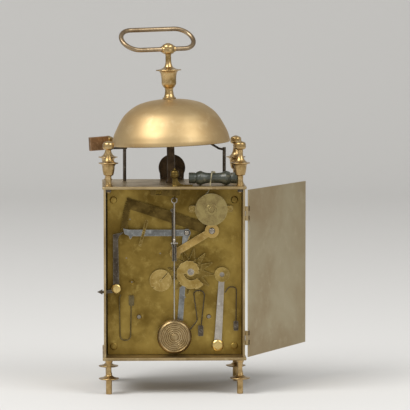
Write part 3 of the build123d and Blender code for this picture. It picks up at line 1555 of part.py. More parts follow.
sub_parts = [
    bottom_plate,
    top_plate,
    left_side_panel,
    right_side_panel,
    front_panel,
    front_crest,
    corner_feet,
    corner_finials,
    finial_nuts,
    rear_door,
    dial,
    dial_bezel,
    bell_post,
    bell,
    bell_nut,
    carrying_handle,
    strike_hammer_arbor,
    strike_hammer_head,
    alarm_hammer,
    pull_toggle,
    pull_cord,
    suspension_cock,
    pendulum_rod,
    pendulum_bob,
    crutch_and_pallets,
    back_plate,
    front_plate,
    movement_pillars,
    movement_screws,
    rack,
    rack_tail,
    rack_hook,
    rack_hook_spring,
    lifting_lever,
    warning_strip,
    star_wheel,
    hour_snail,
    hour_cam,
    star_jumper,
    jumper_roller,
    jumper_spring,
    detent_blade,
    blade_spring,
    pull_drum,
    plate_bridges,
    going_barrel,
    second_wheel,
    centre_wheel,
    third_wheel,
    escape_wheel,
    strike_barrel,
    pin_wheel,
    strike_second_wheel,
    gathering_wheel,
    fly,
    cannon_wheel,
    hour_wheel,
    alarm_disc,
    minute_hand,
    hour_hand,
]

os.makedirs("parts", exist_ok=True)
for sub_part in sub_parts:
    export_step(sub_part(), f"parts/{sub_part.__name__}.step")
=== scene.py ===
# %% [markdown]
# # A brass travelling clock seen from its open back
# The metal work of this clock comes from a CAD model that is loaded first and stays where it is.
# On top of it this lesson makes the finishes, and remakes as smooth surfaces the pieces that a
# lathe or a bent rod gives in the workshop. One unit is one metre and the clock stands on z = 0.

import bpy
import numpy as np
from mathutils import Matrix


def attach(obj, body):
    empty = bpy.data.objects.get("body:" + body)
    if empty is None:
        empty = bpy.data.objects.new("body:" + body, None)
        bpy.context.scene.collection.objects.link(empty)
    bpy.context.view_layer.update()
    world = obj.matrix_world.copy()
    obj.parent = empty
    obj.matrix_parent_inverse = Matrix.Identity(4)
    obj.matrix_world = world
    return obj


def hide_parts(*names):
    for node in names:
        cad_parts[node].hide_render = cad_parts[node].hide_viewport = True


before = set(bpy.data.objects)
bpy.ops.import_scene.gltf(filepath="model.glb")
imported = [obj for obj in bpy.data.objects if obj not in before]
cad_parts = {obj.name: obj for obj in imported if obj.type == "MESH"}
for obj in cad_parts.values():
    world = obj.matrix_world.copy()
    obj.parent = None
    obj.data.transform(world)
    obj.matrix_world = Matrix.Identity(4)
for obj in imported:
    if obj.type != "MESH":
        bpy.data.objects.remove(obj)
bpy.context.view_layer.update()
MM = 0.001
print("CAD nodes:", len(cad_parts))

# %% [markdown]
# ## Camera
# The photograph is taken from far away with a long lens, a little above the roof of the case, so
# upright lines stay upright. The camera stands 2.7 m behind the clock and looks slightly down.

# %% Camera
CAMERA_PLACE = np.array([-66.0, -2693.0, 365.0]) * MM
CAMERA_HEADING = np.radians(1.983)
CAMERA_PITCH = np.radians(4.412)
FOCAL_PER_WIDTH = 3155 / 410

camera_data = bpy.data.cameras.new("camera")
camera_data.sensor_width = 36.0
camera_data.lens = 36.0 * FOCAL_PER_WIDTH
camera_data.clip_end = 20.0
camera = bpy.data.objects.new("camera", camera_data)
bpy.context.scene.collection.objects.link(camera)
camera.location = CAMERA_PLACE
camera.rotation_euler = (np.pi / 2 - CAMERA_PITCH, 0.0, -CAMERA_HEADING)
bpy.context.scene.camera = camera

# %% [markdown]
# ## Meshes from arrays
# Every new piece is a grid of points worked out at once with numpy. One helper turns a grid into
# a mesh, closes it round either way, and marks as sharp the edges where the surface really turns.

# %% Grid to mesh
SHARP_ANGLE = np.radians(32)


def mesh_piece(name, points, faces, body):
    """An object at the origin whose place is in its mesh, shaded smooth between sharp edges."""
    mesh = bpy.data.meshes.new(name)
    mesh.from_pydata(points.tolist(), [], faces.tolist())
    mesh.validate()
    mesh.set_sharp_from_angle(angle=SHARP_ANGLE)
    mesh.polygons.foreach_set("use_smooth", np.ones(len(mesh.polygons), bool))
    piece = bpy.data.objects.new(name, mesh)
    bpy.context.scene.collection.objects.link(piece)
    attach(piece, body)
    return piece


def grid_faces(rows, columns, close_rows=False, close_columns=False):
    """Quads between neighbouring points of a rows x columns grid, wrapped round where closed."""
    row = np.arange(rows if close_rows else rows - 1)[:, None]
    column = np.arange(columns if close_columns else columns - 1)[None, :]
    next_row = (row + 1) % rows
    next_column = (column + 1) % columns
    corners = [row * columns + column, next_row * columns + column,
               next_row * columns + next_column, row * columns + next_column]
    return np.stack([np.broadcast_to(c, (row.size, column.size)) for c in corners], -1).reshape(-1, 4)


# %% [markdown]
# ## Turned work
# Feet, finials, bell, vase and bob all come off a lathe. Their outline is a list of corners as a
# turner would draw it: radius and height, and where the stretch that leads to a corner bulges,
# how far. A profile like this is then carried once round the axis.

# %% Lathe
TURN_STEPS = 72


def outline_points(corners, per_stretch=9):
    """Points along a turned outline, in metres: p(t) = a + (b - a) t + n 4 s t (1 - t), with n the
    outward normal of the stretch from a to b and s its bulge."""
    a = np.array([c[:2] for c in corners[:-1]], float)
    b = np.array([c[:2] for c in corners[1:]], float)
    bulge = np.array([c[2] if len(c) == 3 else 0.0 for c in corners[1:]])
    along = b - a
    length = np.maximum(np.linalg.norm(along, axis=1, keepdims=True), 1e-9)
    normal = np.stack([along[:, 1], -along[:, 0]], 1) / length
    t = np.linspace(0, 1, per_stretch)[None, :, None]
    points = a[:, None] + along[:, None] * t + normal[:, None] * (4 * bulge[:, None, None] * t * (1 - t))
    flat = points.reshape(-1, 2)
    keep = np.ones(len(flat), bool)
    keep[1:] = np.linalg.norm(np.diff(flat, axis=0), axis=1) > 1e-4
    return flat[keep] * MM


def turned(corners, place, along=(0, 0, 1), steps=TURN_STEPS):
    """Points and faces of a solid of revolution: x = r cos u, y = r sin u, z = h. Its z is then laid
    along `along` and the whole moved to `place` (metres)."""
    outline = outline_points(corners)
    u = np.linspace(0, 2 * np.pi, steps, endpoint=False)
    radius, height = outline[:, 0][:, None], outline[:, 1][:, None]
    local = np.stack([radius * np.cos(u), radius * np.sin(u), height + 0 * u], -1).reshape(-1, 3)
    points = local @ axes_along(along) + np.asarray(place)
    return points, grid_faces(len(outline), steps, close_columns=True)[:, ::-1]


def axes_along(direction):
    """Rows x, y, z of a right-handed frame whose z is `direction`."""
    z = np.array(direction, float)
    z = z / np.linalg.norm(z)
    x = np.cross((0.0, 1.0, 0.0), z) if abs(z[1]) < 0.9 else np.cross((0.0, 0.0, 1.0), z)
    x = x / np.linalg.norm(x)
    return np.stack([x, np.cross(z, x), z])


def joined(*parts):
    """Several (points, faces) as one."""
    points, faces, count = [], [], 0
    for p, f in parts:
        points.append(p)
        faces.append(f + count)
        count += len(p)
    return np.concatenate(points), np.concatenate(faces)


def tube(centres, radius, sides=20, closed=False):
    """A round bar along a line of points: c(s) + r (n cos v + b sin v), with n and b square to the
    line's direction."""
    ahead = np.roll(centres, -1, 0) - np.roll(centres, 1, 0)
    if not closed:
        ahead[0] = centres[1] - centres[0]
        ahead[-1] = centres[-1] - centres[-2]
    ahead /= np.linalg.norm(ahead, axis=1, keepdims=True)
    flat_normal = np.linalg.svd(centres - centres.mean(0))[2][2]
    side = np.cross(ahead, flat_normal)
    side /= np.linalg.norm(side, axis=1, keepdims=True)
    other = np.cross(ahead, side)
    v = np.linspace(0, 2 * np.pi, sides, endpoint=False)
    ring = side[:, None] * np.cos(v)[None, :, None] + other[:, None] * np.sin(v)[None, :, None]
    points = (centres[:, None] + radius * ring).reshape(-1, 3)
    faces = grid_faces(len(centres), sides, close_rows=closed, close_columns=True)
    return points, faces


# %% [markdown]
# ## Cord
# A thin twisted cord is knotted on the toggle that lies on the roof. It passes over the toggle,
# drops through a hole in the roof and winds on the drum, which it turns when it is pulled. It is
# limp and short, so it is a smooth line along listed points, drum end first. The points have a
# small radius, since Blender counts it in the curve's box, and the bevel is divided by it.

# %% Cord
CORD_DIAMETER = 1.1 * MM
CORD_ROUTE = np.array([
    (19.9, -34.6, 153.6),
    (21.0, -34.6, 161.8),
    (25.4, -34.8, 167.2),
    (29.9, -37.6, 172.6),
    (30.6, -37.2, 179.4),
    (31.8, -35.4, 187.8),
    (33.3, -29.4, 188.2),
    (33.3, -29.4, 182.4),
]) * MM
POINT_RADIUS = 0.001

cord_curve = bpy.data.curves.new("pull_cord_line", "CURVE")
cord_curve.dimensions = "3D"
cord_spline = cord_curve.splines.new("NURBS")
cord_spline.points.add(len(CORD_ROUTE) - 1)
cord_spline.points.foreach_set("co", np.c_[CORD_ROUTE, np.ones(len(CORD_ROUTE))].ravel())
cord_spline.points.foreach_set("radius", np.full(len(CORD_ROUTE), POINT_RADIUS))
cord_spline.order_u = 3
cord_spline.use_endpoint_u = True
cord_spline.resolution_u = 12
cord = bpy.data.objects.new("cord", cord_curve)
bpy.context.scene.collection.objects.link(cord)
line_mesh = bpy.data.meshes.new_from_object(cord)
line = np.zeros(len(line_mesh.vertices) * 3)
line_mesh.vertices.foreach_get("co", line)
bpy.data.meshes.remove(line_mesh)
cord_curve.bevel_depth = CORD_DIAMETER / 2 / POINT_RADIUS
cord_curve.bevel_resolution = 3
cord_curve.use_fill_caps = True
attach(cord, "case")
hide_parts("pull_cord")

# %% [markdown]
# ## Finishes
# The clock is brass all over, but no two brasses on it look alike: rolled sheet that has gone
# brown, lathe work kept bright by hands, the bell's satin skin, the movement plate with its old
# varnish and scrape marks. All are the same metal with another colour, grain, wear and painted
# edge highlight, so one recipe takes those as its inputs. Steel levers get the same recipe with colder
# colours.

# %% Shader helpers
def linear(code, alpha=1.0):
    """An sRGB hex colour as the linear numbers a shader works in."""
    srgb = np.array([int(code[i:i + 2], 16) for i in (1, 3, 5)]) / 255
    low = srgb / 12.92
    high = ((srgb + 0.055) / 1.055) ** 2.4
    return (*np.where(srgb <= 0.04045, low, high).tolist(), alpha)


def add(tree, kind, settings=None, values=None, links=None):
    """A node with its properties, its sockets' own values and the sockets that feed it."""
    node = tree.nodes.new(kind)
    for name, value in (settings or {}).items():
        setattr(node, name, value)
    for socket, value in (values or {}).items():
        node.inputs[socket].default_value = value
    for socket, source in (links or {}).items():
        tree.links.new(source, node.inputs[socket])
    return node


# a wave texture draws this many rings or bands in one unit at scale 1
WAVE_RINGS = 20


def per_metre(size_mm):
    """The scale of a pattern whose features are this many millimetres across."""
    return 1000.0 / size_mm


def spots_at(tree, place, axes, soft_mm):
    """1 within each (x, z, radius) of a list of axes that run along y, 0 outside, all in mm, with
    an edge that is soft over a short way."""
    flat = add(tree, "ShaderNodeVectorMath", {"operation": "MULTIPLY"}, {1: (1.0, 0.0, 1.0)}, {0: place})
    mask = None
    for x, z, radius in axes:
        away = add(tree, "ShaderNodeVectorMath", {"operation": "DISTANCE"}, {1: (x * MM, 0.0, z * MM)},
                   {0: flat.outputs["Vector"]})
        span = {"From Min": (radius - soft_mm) * MM, "From Max": radius * MM, "To Min": 1.0, "To Max": 0.0}
        disc = add(tree, "ShaderNodeMapRange", None, span, {"Value": away.outputs["Value"]}).outputs["Result"]
        if mask is None:
            mask = disc
        else:
            mask = add(tree, "ShaderNodeMath", {"operation": "MAXIMUM"}, None, {0: mask, 1: disc}).outputs[0]
    return mask


def metal(name, base, stain, bright, rough=(0.3, 0.5), patch_mm=18.0, grain_mm=0.7, grain_stretch=(1, 1, 1),
          bump_mm=0.02, stain_from=0.52, rings_mm=0.0, rings_centre=(0.0, 0.0, 0.0), ring_axis="Z",
          metallic=1.0, worn=0.0, inlaid=None, inlaid_at=()):
    """Bare metal with age on it: broad stains, small spots that brighten where hands rub, edges
    made brighter, partly as rubbed wear and partly as a painted highlight, a fine grain that is stretched
    where the piece was scraped or brushed, rings where it was turned, and another metal where an arbor or a
    stud comes through."""
    material = bpy.data.materials.new(name)
    material.use_nodes = True
    tree = material.node_tree
    tree.nodes.clear()
    place = add(tree, "ShaderNodeTexCoord").outputs["Object"]
    patches = add(tree, "ShaderNodeTexNoise",
                  values={"Scale": per_metre(patch_mm), "Detail": 4.0, "Roughness": 0.55, "Distortion": 0.3},
                  links={"Vector": place})
    stained = add(tree, "ShaderNodeMapRange", {"interpolation_type": "SMOOTHSTEP"},
                  {"From Min": stain_from - 0.2, "From Max": stain_from + 0.2, "To Min": 0.0, "To Max": 1.0},
                  {"Value": patches.outputs["Fac"]})
    spots = add(tree, "ShaderNodeTexNoise",
                values={"Scale": per_metre(patch_mm / 5), "Detail": 5.0, "Roughness": 0.65},
                links={"Vector": place})
    rubbed_and_edge_highlight = add(tree, "ShaderNodeMapRange", {"interpolation_type": "SMOOTHSTEP"},
                 {"From Min": 0.5, "From Max": 0.8, "To Min": 0.0, "To Max": 0.55},
                 {"Value": spots.outputs["Fac"]}).outputs["Result"]
    # worn sets how far every edge is lifted towards the bright colour: partly rubbed wear, partly a painted
    # highlight along the edges
    if worn:
        rounded = add(tree, "ShaderNodeBevel", {"samples": 6}, {"Radius": 0.45 * MM}).outputs["Normal"]
        normal = add(tree, "ShaderNodeNewGeometry").outputs["Normal"]
        straight = add(tree, "ShaderNodeVectorMath", {"operation": "DOT_PRODUCT"}, None,
                       {0: rounded, 1: normal})
        edge_wear_and_highlight = add(tree, "ShaderNodeMapRange", None,
                   {"From Min": 0.99, "From Max": 0.86, "To Min": 0.0, "To Max": worn},
                   {"Value": straight.outputs["Value"]}).outputs["Result"]
        rubbed_and_edge_highlight = add(tree, "ShaderNodeMath", {"operation": "MAXIMUM"}, None, {0: rubbed_and_edge_highlight, 1: edge_wear_and_highlight}).outputs[0]
    first = add(tree, "ShaderNodeMix", {"data_type": "RGBA"},
                {6: linear(base), 7: linear(stain)}, {0: stained.outputs["Result"]})
    colour = add(tree, "ShaderNodeMix", {"data_type": "RGBA"},
                 {7: linear(bright)}, {0: rubbed_and_edge_highlight, 6: first.outputs[2]}).outputs[2]
    if inlaid:
        colour = add(tree, "ShaderNodeMix", {"data_type": "RGBA"}, {7: linear(inlaid)},
                     {0: spots_at(tree, place, inlaid_at, 0.12), 6: colour}).outputs[2]
    stretch = add(tree, "ShaderNodeMapping", values={"Scale": grain_stretch}, links={"Vector": place})
    grain = add(tree, "ShaderNodeTexNoise",
                values={"Scale": per_metre(grain_mm), "Detail": 3.0, "Roughness": 0.6},
                links={"Vector": stretch.outputs["Vector"]})
    roughness = add(tree, "ShaderNodeMapRange",
                    values={"From Min": 0.3, "From Max": 0.7, "To Min": rough[0], "To Max": rough[1]},
                    links={"Value": patches.outputs["Fac"]})
    bump = add(tree, "ShaderNodeBump", values={"Strength": 0.5, "Distance": bump_mm * MM},
               links={"Height": grain.outputs["Fac"]})
    if rings_mm:
        centred = add(tree, "ShaderNodeMapping", values={"Location": [-c for c in rings_centre]},
                      links={"Vector": place})
        rings = add(tree, "ShaderNodeTexWave", {"wave_type": "BANDS" if ring_axis == "Z" else "RINGS",
                                                "bands_direction": "Z", "rings_direction": "Y"},
                    {"Scale": per_metre(rings_mm) / WAVE_RINGS, "Distortion": 0.6, "Detail": 2.0,
                     "Detail Scale": 3.0}, {"Vector": centred.outputs["Vector"]})
        bump = add(tree, "ShaderNodeBump", values={"Strength": 0.35, "Distance": 0.04 * MM},
                   links={"Height": rings.outputs["Fac"], "Normal": bump.outputs["Normal"]})
    shader = add(tree, "ShaderNodeBsdfPrincipled", values={"Metallic": metallic},
                 links={"Base Color": colour, "Roughness": roughness.outputs["Result"],
                        "Normal": bump.outputs["Normal"]})
    add(tree, "ShaderNodeOutputMaterial", links={"Surface": shader.outputs["BSDF"]})
    return material


def dress(material, *nodes):
    """Gives CAD nodes this finish."""
    for node in nodes:
        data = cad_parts[node].data
        data.materials.clear()
        data.materials.append(material)


# %% [markdown]
# ### The brasses
# Brass is copper with about a third of zinc. Bare, it is a clear yellow; left alone, it turns
# brown and then olive. Sheet keeps the long marks of the scraper, turned work fine rings.

# %% Brasses
# x, z and radius, in mm, of the steel arbors whose ends show in their brass wheels
ARBORS = [(-1.5, 138.1, 1.0), (-1.5, 155.2, 1.0), (9.5, 80.5, 1.0), (29.6, 63.8, 1.7),
          (-29.8, 63.8, 1.7), (-35.8, 93.6, 1.0), (-40.4, 114.0, 1.0), (-37.1, 131.5, 1.0),
          (-37.3, 147.0, 1.0), (-11.6, 117.9, 1.0)]
STEEL = "#8d8577"
rolled_brass = metal("rolled_brass_aged", "#b7a27a", "#8f7a55", "#d6c49c", rough=(0.34, 0.5), patch_mm=34,
                     grain_mm=0.9, grain_stretch=(1, 1, 0.06), bump_mm=0.012, worn=0.5)
door_brass = metal("rolled_brass_grey_bloom", "#b2a688", "#a08d6c", "#bfb396", rough=(0.4, 0.52), patch_mm=70,
                   grain_mm=0.8, grain_stretch=(1, 1, 0.05), bump_mm=0.008, stain_from=0.5, worn=0.4)
scraped_brass = metal("movement_plate_brass_scraped", "#a68d4a", "#6e5826", "#bea65f", rough=(0.38, 0.54),
                      patch_mm=34, grain_mm=0.8, grain_stretch=(1, 1, 0.08), bump_mm=0.02, stain_from=0.5)
turned_brass = metal("turned_brass_handled", "#bfa272", "#8c7142", "#e2cfa2", rough=(0.24, 0.38), patch_mm=9,
                     rings_mm=0.9, bump_mm=0.006)
bell_brass = metal("bell_metal_satin", "#bfa77c", "#b0956a", "#cdb68e", rough=(0.46, 0.54), patch_mm=40,
                   grain_mm=0.5, grain_stretch=(0.06, 0.06, 1), bump_mm=0.012)
# dark brown: tarnished brass, and partly painted shade from the roof above the rack and the suspension cock
brown_brass_and_painted_shade = metal("brass_brown_and_painted_shade", "#6d5a30", "#4a3b1c", "#8f783f", rough=(0.36, 0.55), patch_mm=12,
                    worn=0.8)
lever_brass = metal("lever_brass_filed", "#b89a5c", "#8f7440", "#e0c88c", rough=(0.3, 0.46), patch_mm=12,
                    worn=0.8, inlaid=STEEL, inlaid_at=[(32.0, 137.6, 2.6)])
star_brass = metal("star_brass_olive", "#7d6836", "#58461c", "#cdb679", rough=(0.3, 0.48), patch_mm=10,
                   worn=0.9)
wheel_brass = metal("wheel_brass", "#a99154", "#85703b", "#d8c088", rough=(0.28, 0.46), patch_mm=10, worn=0.8,
                    inlaid=STEEL, inlaid_at=ARBORS)
cam_brass = metal("cam_brass", "#b39a5e", "#93793f", "#e2cb90", rough=(0.3, 0.46), patch_mm=10, worn=0.9,
                  inlaid=STEEL, inlaid_at=[(-11.4, 95.3, 1.1)])
drum_brass = metal("drum_brass_pitted", "#a0905f", "#82714a", "#c3b486", rough=(0.36, 0.52), patch_mm=5,
                   grain_mm=0.9, bump_mm=0.06, worn=0.9)
bob_brass = metal("bob_brass_turned", "#ad9873", "#8b744c", "#dccba0", rough=(0.26, 0.4), patch_mm=12,
                  rings_mm=1.0, rings_centre=(0.0, 0.0, 0.0482), ring_axis="Y")
rod_bronze = metal("handle_bronze_brown", "#a08c70", "#7b6850", "#c4b090", rough=(0.28, 0.4), patch_mm=10)

dress(rolled_brass, "bottom_plate", "top_plate", "left_side_panel", "right_side_panel", "front_panel")
dress(door_brass, "rear_door")
dress(scraped_brass, "back_plate", "front_plate", "movement_pillars")
dress(wheel_brass, "plate_bridges", "jumper_roller", "going_barrel", "second_wheel", "centre_wheel",
      "third_wheel", "escape_wheel", "strike_barrel", "pin_wheel", "strike_second_wheel", "gathering_wheel",
      "fly", "cannon_wheel", "hour_wheel")
dress(cam_brass, "hour_cam", "hour_snail")
dress(star_brass, "star_wheel", "warning_strip")
dress(lever_brass, "rack_tail")
dress(drum_brass, "pull_drum")
dress(turned_brass, "alarm_disc")
# the rack and the suspension cock are darkened partly as painted shade under the roof
dress(brown_brass_and_painted_shade, "rack", "suspension_cock")

# %% [markdown]
# ### Steel and iron
# The levers and springs are filed steel with a thin grey skin, brighter where a file or a finger
# passed last. The bell's post and the hammer are darker: forged iron and old paint. The crest gets
# the same dark iron, which on it is painted shade for its unlit side.

# %% Steels
filed_steel = metal("filed_steel", "#b5aea3", "#8d857a", "#d8d3ca", rough=(0.26, 0.42), patch_mm=14,
                    grain_mm=0.5, bump_mm=0.012, worn=0.6)
bluish_steel = metal("steel_bluish_skin", "#8d8f8e", "#62625f", "#c8cac9", rough=(0.26, 0.42), patch_mm=12,
                     worn=0.8)
grey_steel = metal("steel_grey_skin", "#5f574c", "#453d33", "#a39b8d", rough=(0.32, 0.48), patch_mm=9,
                   worn=0.8)
wire_steel = metal("spring_wire_brown", "#776b4d", "#5a4f36", "#a39672", rough=(0.3, 0.45), patch_mm=9)
blued_steel = metal("blued_steel", "#2c3346", "#1b2030", "#46506a", rough=(0.22, 0.34), patch_mm=8)
# dark brown iron: the post's own skin, and on the crest painted shade
dark_iron_and_painted_shade = metal("forged_iron_brown_and_painted_shade", "#5d4c38", "#3a2e22", "#7d6a50", rough=(0.4, 0.58), patch_mm=9,
                    bump_mm=0.05, metallic=0.85, worn=0.5)
hammer_brass = metal("hammer_block_brown", "#9a7a5c", "#74583d", "#c0a07c", rough=(0.36, 0.5), patch_mm=9,
                     worn=0.7)
screw_steel = metal("screw_heads_steel_and_brass", "#aaa295", "#7d756a", "#d8d2c6", rough=(0.22, 0.36),
                    patch_mm=6, worn=0.5, inlaid="#d2b878", inlaid_at=[(-49.1, 88.1, 9.0), (37.1, 39.6, 9.0)])

dress(filed_steel, "star_jumper", "pendulum_rod")
dress(bluish_steel, "lifting_lever", "detent_blade")
dress(grey_steel, "rack_hook", "jumper_spring", "blade_spring", "crutch_and_pallets", "finial_nuts",
      "strike_hammer_arbor", "alarm_hammer")
dress(wire_steel, "rack_hook_spring")
dress(screw_steel, "movement_screws")
dress(blued_steel, "minute_hand", "hour_hand")
# on the crest this dark colour is painted shade for its unlit side
dress(dark_iron_and_painted_shade, "bell_post", "front_crest")
dress(hammer_brass, "strike_hammer_head")

# %% [markdown]
# ## Turned pieces
# The outlines below are those of the CAD solids, so each piece sits exactly where its solid does;
# only the facets go. The bell, its post's vase and the handle lean together a degree or so to the
# left, as the stand of the real clock does, and the bell tips a little more.

# %% Sizes shared by the turned pieces
ROOF = 176.2
CORNERS = [(sx * 55.5, sy * 42.0) for sx in (-1, 1) for sy in (-1, 1)]
STAND_X = -1.5
LEAN = np.radians(1.4)
BELL_HEIGHT = 38.4
BELL_RIM = ROOF + 33.5
BELL_TOP = BELL_RIM + BELL_HEIGHT
BELL_OWN_LEAN = np.radians(0.9)
BALL = BELL_TOP + 42.5


def tipped(points, pivot, angle):
    """Points turned to the left about a pivot (x, z in mm), round the y axis."""
    x = points[:, 0] - pivot[0] * MM
    z = points[:, 2] - pivot[1] * MM
    turned_x = x * np.cos(angle) - z * np.sin(angle)
    turned_z = x * np.sin(angle) + z * np.cos(angle)
    return np.stack([turned_x + pivot[0] * MM, points[:, 1], turned_z + pivot[1] * MM], 1)


def leaned(points):
    """Points turned by the stand's lean about the foot of its post."""
    return tipped(points, (STAND_X, ROOF), LEAN)


def finished(name, shape, body, material, slot, *nodes):
    """A piece with its finish, standing for CAD nodes."""
    piece = mesh_piece(name, shape[0], shape[1], body)
    piece.data.materials.append(material)
    if nodes:
        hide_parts(*nodes)
    print(name, len(shape[0]), "points")
    return piece


# %% Feet and finials
FOOT = [(0, 0), (2.25, 0), (2.55, 0.3), (2.55, 12.5), (6.8, 12.5), (8.4, 13.1), (8.4, 13.8, 0.2),
        (3.4, 15.6, -0.6), (2.75, 17.2, -0.4), (2.3, 24.6, -0.5), (3.2, 27.6, -0.3), (3.2, 28.8),
        (1.5, 28.8), (1.5, 31.3), (0, 31.3)]
FINIAL = [(0, -5.6), (1.5, -5.6), (1.5, 0), (3.5, 0), (3.5, 0.8), (2.9, 1.8, -0.3), (2.5, 7.8, -0.3),
          (3.2, 9.2, -0.3), (4.3, 10.4, 0.3), (5.3, 17.4, 0.25), (5.8, 18.2, 0.1), (8.2, 19.3, -0.3),
          (8.2, 20.0, 0.2), (3.4, 23.0, -0.9), (2.4, 29.6, -0.5), (2.5, 30.9, -0.2), (4.7, 34.4, 1.1),
          (2.2, 37.6, 1.0), (0.8, 38.2, 0.1), (0, 38.2)]
feet = joined(*[turned(FOOT, (x * MM, y * MM, 0)) for x, y in CORNERS])
finials = joined(*[turned(FINIAL, (x * MM, y * MM, ROOF * MM)) for x, y in CORNERS])
finished("feet", feet, "case", turned_brass, "turned_brass", "corner_feet")
finished("finials", finials, "case", turned_brass, "turned_brass", "corner_finials")

# %% [markdown]
# ### Bell
# A bell is cast thick and turned thin towards its lip. Its outline here is a smooth line through
# a few radii and heights, outside and inside, so that the wall's thickness is real.

# %% Bell
BELL_OUTSIDE = np.array([(2.8, 38.35), (11.0, 37.9), (20.0, 36.4), (28.6, 33.5), (37.2, 27.5), (42.3, 21.3),
                         (45.7, 15.2), (48.6, 9.1), (50.2, 3.6)])
BELL_INSIDE = np.array([(47.8, 2.0), (46.8, 8.2), (43.9, 14.7), (40.6, 20.3), (35.7, 25.9), (27.6, 31.6),
                        (19.4, 34.4), (10.6, 35.9), (2.8, 36.35)])


def smooth_line(knots, per_span=8):
    """A Catmull-Rom line through the knots: each span is the cubic that keeps the neighbours'
    directions."""
    padded = np.concatenate([[2 * knots[0] - knots[1]], knots, [2 * knots[-1] - knots[-2]]])
    t = np.linspace(0, 1, per_span, endpoint=False)[None, :, None]
    a, b, c, d = (padded[i:len(padded) - 3 + i][:, None] for i in range(4))
    line = 0.5 * (2 * b + (c - a) * t + (2 * a - 5 * b + 4 * c - d) * t**2 + (3 * b - a - 3 * c + d) * t**3)
    return np.concatenate([line.reshape(-1, 2), knots[-1:]])


lip = np.array([(50.5, 1.3), (50.3, 0.5), (49.6, 0.05), (48.8, 0.05), (48.1, 0.5)])
bell_outline = np.concatenate([smooth_line(BELL_OUTSIDE), lip, smooth_line(BELL_INSIDE)])
u = np.linspace(0, 2 * np.pi, 128, endpoint=False)
ring_r, ring_z = bell_outline[:, 0][:, None], bell_outline[:, 1][:, None]
bell_points = np.stack([ring_r * np.cos(u), ring_r * np.sin(u), ring_z + 0 * u], -1).reshape(-1, 3) * MM
bell_points = tipped(bell_points + np.array([STAND_X, 0, BELL_RIM]) * MM, (STAND_X, BELL_TOP - 1.0),
                     BELL_OWN_LEAN)
bell_points = leaned(bell_points)
bell_faces = grid_faces(len(bell_outline), 128, close_rows=True, close_columns=True)
finished("bell_shell", (bell_points, bell_faces), "case", bell_brass, "bell_metal", "bell")

# %% [markdown]
# ### Vase and handle
# The vase is a nut: it is bored from below and screwed down on the bell. Its ball carries a lug
# on each side, in which the two ends of the handle turn. The handle is one rod bent to an oval.

# %% Vase
VASE = [(2.5, 9.0), (2.5, 0.1), (5.8, 0.1), (5.8, 1.2), (4.4, 2.6, -0.5), (3.7, 5.6, -0.2), (4.0, 9.6, -0.4),
        (5.4, 11.2, 0.2), (6.3, 14.2, 0.3), (7.1, 22.4, -0.3), (7.6, 23.4, 0.2), (10.6, 24.2, -0.2),
        (10.6, 25.0, 0.2), (3.6, 27.4, -0.6), (2.5, 35.0, -0.5), (2.8, 38.2, -0.3), (5.2, 42.5, 1.4),
        (2.4, 47.1, 1.3), (0.8, 47.7, 0.1), (0, 47.7)]
YAW = np.radians(25.0)
TILT = np.radians(50.0)
along_handle = np.array([np.cos(YAW), np.sin(YAW), 0.0])
out_of_handle = np.array([-np.sin(YAW) * np.sin(TILT), np.cos(YAW) * np.sin(TILT), np.cos(TILT)])
ball_centre = np.array([STAND_X, 0.0, BALL]) * MM
LUG = [(1.75, 2.6), (2.7, 2.6), (2.7, 6.1), (2.4, 6.4, 0.1), (1.75, 6.4), (1.75, 4.0)]
lugs = [turned(LUG, ball_centre, side * along_handle, 40) for side in (-1, 1)]
vase_points, vase_faces = joined(turned(VASE, np.array([STAND_X, 0, BELL_TOP]) * MM), *lugs)
finished("vase_nut", (leaned(vase_points), vase_faces), "case", turned_brass, "turned_brass", "bell_nut")

# %% Handle
ROD = 2.0
OFFSET = -5.0
END_RADIUS = 12.9
HALF_RUN = 71.0 / 2 - ROD - END_RADIUS
START = 4.0
v = np.linspace(-np.pi / 2, np.pi / 2, 40)
right_end = np.stack([OFFSET + HALF_RUN + END_RADIUS * np.cos(v), END_RADIUS + END_RADIUS * np.sin(v)], 1)
left_end = np.stack([OFFSET - HALF_RUN - END_RADIUS * np.cos(v), END_RADIUS - END_RADIUS * np.sin(v)], 1)
top_run = np.stack([OFFSET + np.linspace(HALF_RUN, -HALF_RUN, 20)[1:-1], np.full(18, 2 * END_RADIUS)], 1)
oval = np.concatenate([[(START, 0)], right_end, top_run, left_end, [(-START, 0)]]) * MM
oval_points = ball_centre + oval[:, :1] * along_handle + oval[:, 1:] * out_of_handle
handle_points, handle_faces = tube(oval_points, ROD * MM)
finished("handle_rod", (leaned(handle_points), handle_faces), "handle", rod_bronze, "turned_brass",
         "carrying_handle")

# %% [markdown]
# ### Bob, toggle, bezel and dial
# The bob is thick and heavy for its size, turned with a broad bevel and fine grooves. The toggle
# is turned from wood and stained a dark bottle green; the cord's hole is in its waist.

# %% Bob
BOB_GROOVES = [11.4, 9.9, 8.2, 6.7, 5.1, 3.3]
BOB = [(0, -5), (12.4, -5), (14.6, -3.4, 0.2), (14.6, 2.6), (12.7, 5.0, 0.2), (12.1, 4.5, -0.1)]
for groove in BOB_GROOVES:
    BOB += [(groove + 0.35, 4.6), (groove, 4.25), (groove - 0.35, 4.6)]
BOB += [(2.2, 4.6), (1.8, 4.95, 0.1), (0, 5)]
BACK_PLATE_Y = -25.25
PENDULUM_LEVEL = 11.3
BOB_HEIGHT = 48.2
bob_place = np.array([0, BACK_PLATE_Y - PENDULUM_LEVEL, BOB_HEIGHT]) * MM
finished("bob", turned(BOB, bob_place, (0, -1, 0)), "pendulum", bob_brass, "bob_brass", "pendulum_bob")


